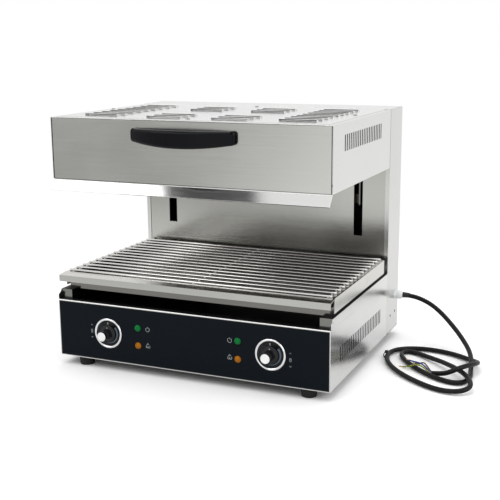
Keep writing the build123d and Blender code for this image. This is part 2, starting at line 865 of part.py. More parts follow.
with BuildPart() as hood_handle:
    with BuildSketch(level(handle_low)):
        with BuildLine():
            end = handle_half - handle_end
            heel = end - handle_heel
            heel_y = hood_front_y - handle_heel * 0.7
            front = hood_front_y - handle_reach
            shoulder = hood_front_y - handle_shoulder
            corner = handle_half - handle_corner
            corner_y = shoulder + handle_corner
            outer = ThreePointArc((-corner, shoulder), (0, front), (corner, shoulder))
            Polyline(outer @ 1, (handle_half, corner_y), (handle_half, hood_front_y), (end, hood_front_y),
                     (heel, heel_y))
            ThreePointArc((heel, heel_y), (0, front + handle_thick), (-heel, heel_y))
            Polyline((-heel, heel_y), (-end, hood_front_y), (-handle_half, hood_front_y),
                     (-handle_half, corner_y), outer @ 0)
        make_face()
    extrude(amount=handle_high - handle_low)
    front_faces = hood_handle.faces().filter_by(GeomType.CYLINDER).sort_by(Axis.Y)[0]
    rounded = front_faces.edges().filter_by(GeomType.CIRCLE)
    fillet(rounded, handle_round)
    holes(facing(hood_front_y), bolt_places, hood_bolt, handle_bolt_depth)
save(hood_handle.part, "hood_handle")

with BuildPart() as hood_bolts:
    pins(facing(front_back_y), bolt_places, hood_bolt, sheet + handle_bolt_depth)
    pins(facing(front_back_y + hood_bolt_head_height), bolt_places, hood_bolt_head, hood_bolt_head_height)
    foot_y = rear_in_y - arm_sheet
    pins(facing(hood_back_y), arm_bolts, hood_bolt, hood_back_y - foot_y)
    pins(facing(foot_y), arm_bolts, hood_bolt_head, hood_bolt_head_height)
save(hood_bolts.part, "hood_bolts")

reflector_top = reflector_low + reflector_rise
with BuildPart() as reflector_pan:
    outer = reflector_sheet
    middle = (reflector_front + reflector_back) / 2
    length = reflector_back - reflector_front
    for skin, mode in ((outer, Mode.ADD), (0, Mode.SUBTRACT)):
        with BuildSketch(level(reflector_low)):
            with Locations((0, middle)):
                Rectangle(2 * (reflector_half + skin), length + 2 * skin)
        with BuildSketch(level(reflector_top + skin)):
            with Locations((0, middle)):
                Rectangle(
                    2 * (reflector_half - reflector_slope - outer + skin),
                    length - 2 * (reflector_slope + outer - skin),
                )
        loft(mode=mode)
    with BuildSketch(level(reflector_low)):
        with Locations((0, (reflector_front + reflector_back) / 2)):
            Rectangle(2 * inner_width, reflector_back - reflector_front + 2 * reflector_flange)
            Rectangle(2 * reflector_half, reflector_back - reflector_front, mode=Mode.SUBTRACT)
    extrude(amount=outer)
    run_x = [element_first_x + element_pitch * i for i in range(element_runs)]
    tails = [(sign * x, element_z) for sign in (-1, 1) for x in (run_x[0], run_x[-1])]
    holes(facing(element_tail), tails, element_diameter + 1.0, element_tail - element_back)
save(reflector_pan.part, "reflector_pan")

with BuildPart() as insulation_mat:
    mat_half = reflector_half - reflector_slope - mat_inset
    mat_front = reflector_front + reflector_slope + mat_inset
    mat_back = reflector_back - reflector_slope - mat_inset
    mat_low = reflector_top + outer
    block((-mat_half, mat_front, mat_low), (mat_half, mat_back, mat_low + mat_height))
save(insulation_mat.part, "insulation_mat")

with BuildPart() as heating_elements:
    bend = element_pitch / 2
    for sign in (-1, 1):
        with BuildLine():
            for i in range(len(run_x)):
                near, far = (element_back, element_front) if i % 2 == 0 else (element_front, element_back)
                begin = element_tail if i == 0 else near
                finish = element_tail if i == len(run_x) - 1 else far
                Line((sign * run_x[i], begin, element_z), (sign * run_x[i], finish, element_z))
                if i < len(run_x) - 1:
                    bulge = far - bend if far == element_front else far + bend
                    ThreePointArc(
                        (sign * run_x[i], far, element_z),
                        (sign * (run_x[i] + bend), bulge, element_z),
                        (sign * run_x[i + 1], far, element_z),
                    )
        with BuildSketch(Plane(origin=(sign * run_x[0], element_tail, element_z), z_dir=(0, -1, 0))):
            Circle(element_diameter / 2)
        sweep()
save(heating_elements.part, "heating_elements")

with BuildPart() as element_brackets:
    post_half = hanger_width / 2
    bar_low = element_z + element_diameter / 2
    for sign in (-1, 1):
        ends = sorted([sign * (run_x[0] - element_diameter), sign * (run_x[-1] + element_diameter)])
        for y in hanger_places:
            block((ends[0], y - post_half, bar_low), (ends[1], y + post_half, bar_low + hanger_sheet))
            for run in (0, element_runs - 2):
                x = sign * (run_x[run] + element_pitch / 2)
                post_front = y - post_half
                block(
                    (x - post_half, post_front, bar_low),
                    (x + post_half, post_front + hanger_sheet, reflector_top),
                )
save(element_brackets.part, "element_brackets")

for side, sign in sides():
    with BuildPart() as lift_arm:
        arm_outline = [
            (arm_front, arm_bottom),
            (arm_neck, arm_bottom),
            (arm_neck, arm_low),
            (arm_rear, arm_low),
            (arm_rear, arm_top),
            (arm_front, arm_top),
        ]
        extruded(across(sign * arm_inner), arm_outline, sign * arm_sheet)
        lower = lift_arm.edges().filter_by(Axis.X).group_by(Axis.Z)[0]
        fillet(lower, arm_round)
        reach = sorted([sign * arm_outer, sign * (arm_outer + arm_foot)])
        block((reach[0], foot_y, arm_bottom), (reach[1], rear_in_y, arm_top))
        holes(facing(rear_in_y), arm_bolts, hood_bolt, arm_sheet)
    save(lift_arm.part, "lift_arm_" + side)

with BuildPart() as guide_bushes:
    for sign in (-1, 1):
        for low, inner in ((low_bush_z, rope_x - bush_width / 3), (high_bush_z, rod_x - bush_width * 0.6)):
            reach = sorted([sign * inner, sign * arm_inner])
            bush_front = rod_y - bush_width / 2
            block((reach[0], bush_front, low), (reach[1], bush_front + bush_width, low + bush_height))
    holes(level(low_bush_z), rod_places, rod_diameter + 2 * rod_fit, high_bush_z + bush_height - low_bush_z)
    chamfer(guide_bushes.edges().filter_by(Axis.Z), 1.0)
save(guide_bushes.part, "guide_bushes")

# Rails, tray and grid ----------------------------------------------------------------------
rail_top = base_top + rail_height
for side, sign in sides():
    with BuildPart() as tray_rail:
        rail_outline = [
            (skin_y + ear_length, base_top),
            (column_y, base_top),
            (column_y, rail_top),
            (rail_front, rail_top),
            (skin_y + ear_blunt, base_top + ear_height),
        ]
        extruded(across(sign * half_width), rail_outline, -sign * sheet)
        reach = sorted([sign * inner_width, sign * (inner_width - rail_flange)])
        block((reach[0], rail_front, rail_top - sheet), (reach[1], column_y, rail_top))
        block((reach[0], rail_front, base_top), (reach[1], rail_front + sheet, rail_top))
        reach = sorted([sign * inner_width, sign * (inner_width - sheet)])
        block((reach[0], skin_y + ear_length, base_top - rail_hem), (reach[1], column_y, rail_top))
    save(tray_rail.part, "tray_rail_" + side)

with BuildPart() as drip_tray:
    block((-tray_half, tray_front, rail_top), (tray_half, tray_back, tray_top))
    block(
        (-tray_half + sheet, tray_front + sheet, rail_top + sheet),
        (tray_half - sheet, tray_back - sheet, tray_top),
        Mode.SUBTRACT,
    )
    for sign in (-1, 1):
        fold = [
            (sign * (tray_half - sheet), tray_top),
            (sign * (tray_half + tray_fold), tray_top),
            (sign * (tray_half + tray_fold), rail_top + tray_skirt),
        ]
        extruded(facing(tray_back), folded(fold, -sign * sheet), tray_back - tray_front)
    rim = [
        (tray_front, tray_top),
        (tray_front - tray_rim_reach, tray_top - tray_rim_drop),
        (tray_front - tray_rim_reach, tray_top - tray_rim_drop - tray_rim_face),
    ]
    extruded(across(-tray_rim_half), folded(rim, sheet), 2 * tray_rim_half)
save(drip_tray.part, "drip_tray")

rod_centre_z = tray_top + grid_wire / 2
grid_first_y = (tray_front + tray_back) / 2 - grid_pitch * (rod_count - 1) / 2 - 1.0
with BuildPart() as wire_grid:
    reach = tray_half + grid_overhang
    grid_places = [(grid_first_y + grid_pitch * i, rod_centre_z) for i in range(rod_count)]
    pins(across(-reach), grid_places, grid_wire, 2 * reach)
    runner_z = rod_centre_z - grid_wire + grid_weld
    runner_places = [(x, runner_z) for x in (-runner_x, 0, runner_x)]
    runner_end = grid_places[-1][0] + grid_wire / 2
    pins(facing(runner_end), runner_places, grid_wire, runner_end - grid_places[0][0] + grid_wire / 2)
save(wire_grid.part, "wire_grid")

# Mains lead --------------------------------------------------------------------------------
gland_bore = cord_diameter / 2 + cord_fit
gland_end = half_width + gland_reach
cord_face = gland_end - gland_grip
with BuildPart() as cable_gland:
    with BuildSketch(Plane(origin=(0, gland_y, gland_z), x_dir=(1, 0, 0), z_dir=(0, -1, 0))):
        Polygon(
            (inner_width - gland_inside, 0),
            (inner_width - gland_inside, gland_thread / 2),
            (half_width, gland_thread / 2),
            (half_width, gland_collar / 2),
            (half_width + gland_collar_height, gland_collar / 2),
            (half_width + gland_collar_height, gland_diameter / 2),
            (gland_end - gland_collar_height, gland_diameter / 2),
            (gland_end, gland_tip / 2),
            (gland_end, gland_bore),
            (cord_face, gland_bore),
            (cord_face, 0),
            align=None,
        )
    revolve(axis=Axis((0, gland_y, gland_z), (1, 0, 0)))
save(cable_gland.part, "cable_gland")

with BuildPart() as gland_locknut:
    with BuildSketch(across(inner_width - locknut_height)):
        with Locations((gland_y, gland_z)):
            RegularPolygon(locknut_size / 2, 6, major_radius=False)
            Circle(gland_thread / 2, mode=Mode.SUBTRACT)
    extrude(amount=locknut_height)
save(gland_locknut.part, "gland_locknut")


def coil_point(turn):
    """A point of the lead's loops, by quarter turns: a loop with a reach of its own on each side."""
    quarter = min(int(floor(turn)), len(coil_reach) - 2)
    part = turn - quarter
    ease = (1 - cos(pi * part)) / 2
    sides_at = [Vector(1, 0).rotate(Axis.Z, coil_lean + 90 - 90 * (quarter + i)) for i in range(2)]
    broad = Vector(1, 0).rotate(Axis.Z, coil_lean + 90)
    shift = coil_shift[quarter] * (1 - ease) + coil_shift[quarter + 1] * ease
    point = Vector(*coil_middle, coil_rest) + broad * shift
    point += sides_at[0] * (coil_reach[quarter] * cos(pi / 2 * part))
    point += sides_at[1] * (coil_reach[quarter + 1] * sin(pi / 2 * part))
    for place, width, rise in coil_humps:
        if abs(turn - place) < width:
            point += Vector(0, 0, rise * (1 + cos(pi * (turn - place) / width)) / 2)
    return point


def coil_heading(turn, is_end=False):
    step = 0.0001
    heading = coil_point(turn + step) - coil_point(turn - step)
    if is_end:
        heading = Vector(heading.X, heading.Y, 0)
    return heading.normalized()


def biarc_joint(start, leave, end, arrive):
    """The point and heading where two arcs meet that join two points with their headings."""
    span = end - start
    both = leave + arrive
    bend = 1 - leave.dot(arrive)
    along = span.dot(both)
    if bend < 1e-9:
        reach = span.dot(span) / (4 * span.dot(leave))
    else:
        reach = (sqrt(along * along + 2 * bend * span.dot(span)) - along) / (2 * bend)
    first = start + leave * reach
    second = end - arrive * reach
    return (first + second) * 0.5, (second - first).normalized()


def arc_points(start, leave, end, count):
    """Points on the arc from a start and a heading to an end, without the end."""
    span = end - start
    side = span - leave * span.dot(leave)
    if side.length < 1e-6:
        return [start + span * (i / count) for i in range(count)]
    side = side.normalized()
    radius = span.dot(span) / (2 * span.dot(side))
    angle = 2 * atan(span.dot(side) / span.dot(leave))
    return [
        start + leave * (radius * sin(angle * i / count)) + side * (radius * (1 - cos(angle * i / count)))
        for i in range(count)
    ]


def tube(points, diameter, name):
    """A tube along straight runs with the largest tangent arcs that they allow."""
    corners = [Vector(*point) for point in points]
    radii = []
    for before, here, after in zip(corners, corners[1:], corners[2:]):
        turn = radians((here - before).get_angle(after - here))
        radii.append(0.45 * min((here - before).length, (after - here).length) / tan(turn / 2))
    print(name, "radii", [round(radius, 1) for radius in radii])
    with BuildLine() as path:
        FilletPolyline(*points, radius=radii)
    start = corners[0]
    with BuildSketch(Plane(origin=start, z_dir=corners[1] - corners[0])) as section:
        Circle(diameter / 2)
    sweep(section.sketch, path=path.line)
    length = sum(edge.length for edge in path.edges())
    print(name, "length", round(length, 1), "volume", round(pi * diameter ** 2 / 4 * length, 1))


stops = [coil_start + (coil_end - coil_start) * i / coil_steps for i in range(coil_steps + 1)]
stations = [(coil_point(turn), coil_heading(turn, turn in (stops[0], stops[-1]))) for turn in stops]
coil_in, coil_in_heading = stations[0]
coil_out, coil_out_heading = stations[-1]
with BuildPart() as cord_coil:
    track = []
    with BuildLine() as loops:
        for (start, leave), (end, arrive) in zip(stations, stations[1:]):
            joint, turn_heading = biarc_joint(start, leave, end, arrive)
            TangentArc(start, joint, tangent=leave)
            TangentArc(joint, end, tangent=turn_heading)
            track += arc_points(start, leave, joint, 8) + arc_points(joint, turn_heading, end, 8)
    with BuildSketch(Plane(origin=coil_in, z_dir=coil_in_heading)):
        Circle(cord_diameter / 2)
    sweep()
coil_length = sum(edge.length for edge in loops.edges())
clear = 3.5 * cord_diameter
walked = [0.0]
for before, here in zip(track, track[1:]):
    walked.append(walked[-1] + (here - before).length)
least = min(
    (track[i] - track[k]).length
    for i in range(len(track)) for k in range(i + 1, len(track)) if walked[k] - walked[i] > clear
)
print("coil length", round(coil_length, 1), "least gap", round(least - cord_diameter, 2))
print("coil lowest", round(min(point.Z for point in track) - cord_diameter / 2, 2))
print("coil volume", round(cord_coil.part.volume), "of", round(pi * cord_diameter ** 2 / 4 * coil_length))
save(cord_coil.part, "cord_coil")

with BuildPart() as power_cord:
    last = coil_in - coil_in_heading * 20.0
    cord_route = [
        (cord_face, gland_y, gland_z),
        (337.0, 226.0, 99.0),
        (364.0, 222.5, 94.0),
        (390.0, 214.0, 85.0),
        (414.0, 202.0, 72.0),
        (438.0, 184.0, 57.0),
        (461.0, 162.0, 42.5),
        (481.0, 136.0, 30.0),
        (496.0, 107.0, 22.5),
        (505.0, 78.0, 17.0),
        (510.0, 51.0, 9.8),
        (last.X, last.Y, last.Z),
        (coil_in.X, coil_in.Y, coil_in.Z),
    ]
    tube(cord_route, cord_diameter, "power_cord")
save(power_cord.part, "power_cord")

across_end = Vector(-coil_out_heading.Y, coil_out_heading.X, 0)
with BuildPart() as cord_cores:
    for lane, fan, rises in core_lanes:
        root = coil_out + across_end * (core_spacing * lane)
        cores_route = [
            root + coil_out_heading * go + across_end * (fan * out) + Vector(0, 0, rise)
            for (go, out), rise in zip(core_steps, rises)
        ]
        tube([tuple(point) for point in cores_route], core_diameter, "core")
save(cord_cores.part, "cord_cores")

with BuildPart() as cord_tie:
    tie_point = coil_point(tie_turn)
    tie_heading = coil_heading(tie_turn, True)
    tie_bore = cord_diameter / 2 + tie_clearance
    with BuildSketch(Plane(origin=tie_point - tie_heading * (tie_width / 2), z_dir=tie_heading)):
        Circle(tie_bore + tie_thickness)
        Circle(tie_bore, mode=Mode.SUBTRACT)
    extrude(amount=tie_width)
    with BuildSketch(level(tie_point.Z + tie_bore + tie_thickness / 2)):
        with Locations((tie_point.X, tie_point.Y)):
            Rectangle(tie_head, tie_head)
    extrude(amount=tie_head * 0.7)
save(cord_tie.part, "cord_tie")
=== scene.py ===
import json
import math

import bpy
from mathutils import Matrix, Vector

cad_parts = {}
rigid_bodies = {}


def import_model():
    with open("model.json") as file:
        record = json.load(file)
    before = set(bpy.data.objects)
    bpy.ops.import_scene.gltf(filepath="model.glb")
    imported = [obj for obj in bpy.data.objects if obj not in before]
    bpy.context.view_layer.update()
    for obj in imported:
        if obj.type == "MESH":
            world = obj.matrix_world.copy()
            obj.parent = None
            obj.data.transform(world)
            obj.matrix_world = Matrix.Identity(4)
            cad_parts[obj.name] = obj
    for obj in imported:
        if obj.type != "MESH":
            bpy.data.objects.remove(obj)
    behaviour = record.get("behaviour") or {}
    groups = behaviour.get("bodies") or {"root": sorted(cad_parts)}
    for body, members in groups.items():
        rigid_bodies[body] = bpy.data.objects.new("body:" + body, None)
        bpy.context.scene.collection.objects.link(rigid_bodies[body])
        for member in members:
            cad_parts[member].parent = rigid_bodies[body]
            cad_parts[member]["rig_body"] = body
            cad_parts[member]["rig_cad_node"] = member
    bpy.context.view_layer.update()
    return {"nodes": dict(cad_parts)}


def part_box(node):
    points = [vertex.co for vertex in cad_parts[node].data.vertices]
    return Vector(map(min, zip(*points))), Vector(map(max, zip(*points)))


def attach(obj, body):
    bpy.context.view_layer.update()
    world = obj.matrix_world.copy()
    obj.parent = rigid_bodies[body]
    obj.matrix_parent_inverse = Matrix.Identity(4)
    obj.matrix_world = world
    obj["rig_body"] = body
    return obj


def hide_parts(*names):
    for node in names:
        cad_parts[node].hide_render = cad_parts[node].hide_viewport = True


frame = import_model()
nodes = frame["nodes"]
print("frame loaded,", len(nodes), "pieces")

mm = 0.001
left, right = -1, 1
smoothAngle = 35
quarterTurn = math.pi / 2
turns = {"Z": (0, 0, 0), "X": (0, quarterTurn, 0), "-X": (0, -quarterTurn, 0), "Y": (-quarterTurn, 0, 0),
         "-Y": (quarterTurn, 0, 0)}


# small helpers, which take millimetres

def metres(point):
    return [c * mm for c in point]


def clearSelection():
    if bpy.context.object and bpy.context.object.mode != "OBJECT":
        bpy.ops.object.mode_set(mode="OBJECT")
    bpy.ops.object.select_all(action="DESELECT")


def pick(piece):
    clearSelection()
    piece.select_set(True)
    bpy.context.view_layer.objects.active = piece


def openMesh(piece, action="SELECT"):
    pick(piece)
    bpy.ops.object.mode_set(mode="EDIT")
    bpy.ops.mesh.select_all(action=action)


def closeMesh():
    bpy.ops.object.mode_set(mode="OBJECT")


def mend(threshold):
    bpy.ops.mesh.select_all(action="SELECT")
    bpy.ops.mesh.remove_doubles(threshold=threshold)
    bpy.ops.mesh.normals_make_consistent(inside=False)


def moved(piece, centre, turn=(0, 0, 0)):
    # turns and shifts a piece and applies both
    pick(piece)
    piece.rotation_euler = turn
    piece.location = metres(centre)
    bpy.ops.object.transform_apply()
    return piece


def box(name, low, high):
    clearSelection()
    middle = [(a + b) / 2 * mm for a, b in zip(low, high)]
    size = [(b - a) * mm for a, b in zip(low, high)]
    bpy.ops.mesh.primitive_cube_add(size=1, location=middle, scale=size)
    piece = bpy.context.object
    piece.name = name
    bpy.ops.object.transform_apply()
    return piece


def turned(name, profile, centre, axis="Z", around=48, closed=True):
    # a lathe piece: a circle is extruded along the profile of (radius, distance)
    clearSelection()
    here, level = profile[0]
    bpy.ops.mesh.primitive_circle_add(vertices=around, radius=here * mm, location=(0, 0, level * mm))
    piece = bpy.context.object
    piece.name = name
    bpy.ops.object.transform_apply()
    openMesh(piece)
    bpy.ops.mesh.select_mode(type="VERT")
    for radius, distance in profile[1:]:
        bpy.ops.mesh.extrude_region_move(TRANSFORM_OT_translate={"value": (0, 0, (distance - level) * mm)})
        bpy.ops.transform.resize(value=(radius / here, radius / here, 1),
                                 center_override=(0, 0, distance * mm))
        here, level = radius, distance
    if closed:
        for end in ("first", "last"):   # an open end is filled in each round
            bpy.ops.mesh.select_non_manifold(extend=False)
            bpy.ops.mesh.edge_face_add()
    mend(0.000002)
    closeMesh()
    return moved(piece, centre, turns[axis])


def bevelled(piece, width, segments=2, limit=smoothAngle, clamp=True):
    pick(piece)
    bevel = piece.modifiers.new("edges", "BEVEL")
    bevel.width = width * mm
    bevel.segments = segments
    bevel.limit_method = "ANGLE"
    bevel.angle_limit = math.radians(limit)
    bevel.harden_normals = True
    bevel.use_clamp_overlap = clamp
    bpy.ops.object.shade_smooth_by_angle(angle=math.radians(limit))
    bpy.ops.object.modifier_apply(modifier="edges")
    return piece


def copied(piece, name, offset):
    pick(piece)
    bpy.ops.object.duplicate()
    other = bpy.context.object
    other.name = name
    return moved(other, offset)


def joined(parts, name):
    clearSelection()
    for part in parts:
        part.select_set(True)
    bpy.context.view_layer.objects.active = parts[0]
    if len(parts) > 1:
        bpy.ops.object.join()
    parts[0].name = name
    return parts[0]


def carved(piece, cutter):
    pick(piece)
    cut = piece.modifiers.new("cut", "BOOLEAN")
    cut.operation = "DIFFERENCE"
    cut.solver = "EXACT"
    cut.object = cutter
    bpy.ops.object.modifier_apply(modifier="cut")
    bpy.data.objects.remove(cutter)
    return piece


def settle(piece, body, material, replaces=(), angle=smoothAngle):
    # gives a piece its material, moving body and the CAD nodes it stands for
    pick(piece)
    bpy.ops.object.transform_apply()
    piece.data.materials.clear()
    piece.data.materials.append(material)
    if angle:
        bpy.ops.object.shade_smooth_by_angle(angle=math.radians(angle))
    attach(piece, body)
    if replaces:
        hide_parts(*replaces)
    return piece


def paint(nodeName, material):
    node = nodes[nodeName]
    if not node.material_slots:
        node.data.materials.append(None)
    for place in node.material_slots:
        place.link = "OBJECT"
        place.material = material


# the camera that took the photograph, fitted to the casing's corners and the dials

camera = {"lens": 69.05, "sensor": 36, "azimuth": 23.678, "elevation": 12.642, "roll": -0.493,
          "place": (0.8457, -1.8368, 0.6771)}


def placeCamera():
    azimuth, elevation, roll = (math.radians(camera[key]) for key in ("azimuth", "elevation", "roll"))
    back = Vector((math.sin(azimuth) * math.cos(elevation), -math.cos(azimuth) * math.cos(elevation),
                   math.sin(elevation)))
    side = (-back).cross(Vector((0, 0, 1))).normalized()
    up = side.cross(-back)
    tiltedSide = side * math.cos(roll) + up * math.sin(roll)
    tiltedUp = up * math.cos(roll) - side * math.sin(roll)
    clearSelection()
    bpy.ops.object.camera_add(location=camera["place"])
    view = bpy.context.object
    view.rotation_euler = Matrix((tiltedSide, tiltedUp, back)).transposed().to_euler()
    view.data.lens = camera["lens"]
    view.data.sensor_width = camera["sensor"]
    bpy.context.scene.camera = view


placeCamera()
bpy.context.scene.view_settings.view_transform = "Standard"
print("camera placed")


# finishes: every material reads Object coordinates

def wire(tree, fromSocket, toSocket):
    tree.links.new(fromSocket, toSocket)


def addNode(tree, kind, **values):
    node = tree.nodes.new("ShaderNode" + kind)
    for key, value in values.items():
        node.inputs[key].default_value = value
    return node


def newFinish(name, metal, rough, specular=0.5, coat=0.0, coatRough=0.1):
    material = bpy.data.materials.new(name)
    material.use_nodes = True
    tree = material.node_tree
    shader = tree.nodes["Principled BSDF"]
    for key, value in (("Metallic", metal), ("Roughness", rough), ("Specular IOR Level", specular),
                       ("Coat Weight", coat), ("Coat Roughness", coatRough)):
        shader.inputs[key].default_value = value
    coords = tree.nodes.new("ShaderNodeTexCoord")
    return material, tree, shader, coords.outputs["Object"]


def noise(tree, coords, scale, detail=2.0, rough=0.5, twist=0.0):
    mapping = addNode(tree, "Mapping", Scale=scale if isinstance(scale, tuple) else (scale,) * 3)
    wire(tree, coords, mapping.inputs["Vector"])
    field = addNode(tree, "TexNoise", Scale=1.0, Detail=detail, Roughness=rough, Distortion=twist)
    wire(tree, mapping.outputs[0], field.inputs["Vector"])
    return field.outputs[0]


def spread(tree, value, low, high, fromLow=0.25, fromHigh=0.75):
    ranged = tree.nodes.new("ShaderNodeMapRange")
    for key, number in (("From Min", fromLow), ("From Max", fromHigh), ("To Min", low), ("To Max", high)):
        ranged.inputs[key].default_value = number
    wire(tree, value, ranged.inputs["Value"])
    return ranged.outputs[0]


def calc(tree, operation, first, second):
    sums = tree.nodes.new("ShaderNodeMath")
    sums.operation = operation
    for place, value in enumerate((first, second)):
        if isinstance(value, (int, float)):
            sums.inputs[place].default_value = value
        else:
            wire(tree, value, sums.inputs[place])
    return sums.outputs[0]


def blendColours(tree, factor, first, second):
    mixer = tree.nodes.new("ShaderNodeMix")
    mixer.data_type = "RGBA"
    wire(tree, factor, mixer.inputs[0])
    for place, value in ((6, first), (7, second)):   # the colour sockets of the mix node
        if isinstance(value, (tuple, list)):
            mixer.inputs[place].default_value = (*value, 1.0)
        else:
            wire(tree, value, mixer.inputs[place])
    return mixer.outputs[2]


def tinted(tree, shader, field, first, second, share=1.0, **ends):
    colour = blendColours(tree, spread(tree, field, 0.0, share, **ends), first, second)
    wire(tree, colour, shader.inputs["Base Color"])


def bump(tree, shader, height, strength, distance):
    bumps = addNode(tree, "Bump", Strength=strength, Distance=distance)
    wire(tree, height, bumps.inputs["Height"])
    wire(tree, bumps.outputs[0], shader.inputs["Normal"])


grainRange = (0.35, 0.65)


def alongGrain(grain, along, across):
    return tuple(along if axis == grain else across for axis in "xyz")


def brushedSteel(name, grain, tint, rough, lines=0.03, fall=0.03, dark=None, stain=None):
    # fine lines and broad streaks along the grain
    material, tree, shader, coords = newFinish(name, 1.0, rough[0])
    fine = noise(tree, coords, alongGrain(grain, 30, 1500), detail=3.0, rough=0.6)
    streaks = noise(tree, coords, alongGrain(grain, 10, 500))
    cloud = noise(tree, coords, 7, detail=3.0)
    mixed = calc(tree, "ADD", calc(tree, "MULTIPLY", fine, 0.55), calc(tree, "MULTIPLY", streaks, 0.45))
    tone = spread(tree, mixed, 0.0, 1.0, *grainRange)
    colour = blendColours(tree, tone, dark or [c - fall for c in tint], tint)
    if stain:
        marks = noise(tree, coords, 16, detail=5.0, rough=0.7)
        colour = blendColours(tree, spread(tree, marks, 0.0, 0.5, 0.55, 0.75), colour, stain)
    wire(tree, colour, shader.inputs["Base Color"])
    fine, broad = spread(tree, mixed, *rough, *grainRange), spread(tree, cloud, -0.03, 0.05)
    wire(tree, calc(tree, "ADD", fine, broad), shader.inputs["Roughness"])
    bump(tree, shader, mixed, lines, 0.0001)
    return material


def polishedMetal(name, tint, rough=0.12, wear=0.06, lines=0.03):
    material, tree, shader, coords = newFinish(name, 1.0, rough)
    scratches = noise(tree, coords, (60, 900, 500), detail=3.0, twist=0.6)
    cloud = noise(tree, coords, 25, detail=3.0)
    tinted(tree, shader, cloud, tint, [c * 0.86 for c in tint], 0.6)
    wire(tree, spread(tree, scratches, rough, rough + wear), shader.inputs["Roughness"])
    bump(tree, shader, scratches, lines, 0.0001)
    return material


def mouldedPlastic(name, colour, rough=0.45, grain=900.0, height=0.12, specular=0.4, shift=0.75):
    material, tree, shader, coords = newFinish(name, 0.0, rough, specular)
    stipple = noise(tree, coords, grain, rough=0.6)
    cloud = noise(tree, coords, 30, detail=4.0, rough=0.65)
    tinted(tree, shader, cloud, colour, [c * shift for c in colour])
    fine, broad = spread(tree, stipple, rough - 0.05, rough + 0.05), spread(tree, cloud, -0.05, 0.05)
    wire(tree, calc(tree, "ADD", fine, broad), shader.inputs["Roughness"])
    bump(tree, shader, stipple, height, 0.0002)
    return material


def lampLens(name, colour, deep):
    material, tree, shader, coords = newFinish(name, 0.0, 0.35, 0.12, 0.04)
    cells = addNode(tree, "TexVoronoi", Scale=420)
    wire(tree, coords, cells.inputs["Vector"])
    tinted(tree, shader, noise(tree, coords, 140), colour, deep)
    bump(tree, shader, cells.outputs[0], 0.35, 0.0004)
    return material


def enamelPrint(name, colour):
    material, tree, shader, coords = newFinish(name, 0.0, 0.5, 0.3)
    tinted(tree, shader, noise(tree, coords, 700, detail=3.0), colour, [c * 0.8 for c in colour])
    return material


def castIron(name):
    material, tree, shader, coords = newFinish(name, 0.6, 0.6)
    skin = noise(tree, coords, 260, detail=5.0, rough=0.7)
    tinted(tree, shader, skin, (0.045, 0.045, 0.047), (0.09, 0.085, 0.08))
    bump(tree, shader, skin, 0.4, 0.0006)
    return material


def fibreMat(name):
    material, tree, shader, coords = newFinish(name, 0.0, 0.95, 0.1)
    fibres = noise(tree, coords, (90, 700, 300), detail=5.0, rough=0.7, twist=2.0)
    tinted(tree, shader, fibres, (0.8, 0.79, 0.75), (0.6, 0.59, 0.55))
    bump(tree, shader, fibres, 0.6, 0.001)
    return material


def elementSheath(name):
    # the tube's oxide skin wanders between rust brown and a bluish dark tone
    material, tree, shader, coords = newFinish(name, 0.85, 0.5)
    skin = noise(tree, coords, 400, detail=4.0, rough=0.7)
    bands = noise(tree, coords, 14, detail=3.0)
    rust = blendColours(tree, spread(tree, bands, 0.0, 1.0), (0.16, 0.14, 0.13), (0.26, 0.19, 0.14))
    tinted(tree, shader, skin, rust, (0.1, 0.1, 0.12), 0.6)
    wire(tree, spread(tree, skin, 0.42, 0.65), shader.inputs["Roughness"])
    bump(tree, shader, skin, 0.25, 0.0003)
    return material


def earthCore(name):
    material, tree, shader, coords = newFinish(name, 0.0, 0.4)
    bands = addNode(tree, "TexWave", Scale=60)
    wire(tree, coords, bands.inputs["Vector"])
    tinted(tree, shader, bands.outputs[1], (0.04, 0.2, 0.03), (0.5, 0.42, 0.03), fromLow=0.45, fromHigh=0.55)
    return material


# the casing sheets are one brushed steel; the copies below are set lighter or darker face by face, partly
# painted light and shade
sheetAcross = brushedSteel("sheetAcross", "x", (0.77, 0.77, 0.76), (0.22, 0.28), 0.04)
sheetAlong = brushedSteel("sheetAlong", "y", (0.79, 0.79, 0.78), (0.2, 0.26), 0.04)
sheetUp = brushedSteel("sheetUp", "z", (0.73, 0.73, 0.72), (0.2, 0.26), 0.04)
topSheet = brushedSteel("topSheet", "x", (0.82, 0.82, 0.81), (0.2, 0.26))
# a darker copy of the top's steel for the louvres' sloped faces: painted shade
louvreShaded = brushedSteel("louvreShaded", "x", (0.6, 0.6, 0.59), (0.2, 0.26))
# a darker copy of the steel for the hood's front sheet: painted shade
hoodFrontShaded = brushedSteel("hoodFrontShaded", "x", (0.66, 0.66, 0.64), (0.16, 0.21), fall=0.02)
# a darker copy of the steel for the recessed lift slot panel: painted shade
backShaded = brushedSteel("backShaded", "x", (0.55, 0.55, 0.525), (0.16, 0.22), fall=0.02)
mirrorSheet = brushedSteel("mirrorSheet", "x", (0.8, 0.8, 0.79), (0.08, 0.12), 0.02)
sideSheet = brushedSteel("sideSheet", "y", (0.8, 0.8, 0.79), (0.18, 0.23))
traySheet = brushedSteel("traySheet", "x", (0.7, 0.695, 0.67), (0.14, 0.2), stain=(0.56, 0.52, 0.45))
# a darker copy of the tray steel for its front faces: painted shade
trayFrontShaded = brushedSteel("trayFrontShaded", "x", (0.5, 0.5, 0.48), (0.14, 0.2))
# the tray's inside, much darker than its steel: painted shade under the hood and the grid
trayInsideShaded = brushedSteel("trayInsideShaded", "x", (0.2, 0.195, 0.185), (0.08, 0.14), 0.02)
# near-black steel for the deck: painted shade under the tray
deckShaded = brushedSteel("deckShaded", "x", (0.12, 0.12, 0.12), (0.3, 0.4), 0.04, fall=0.02)
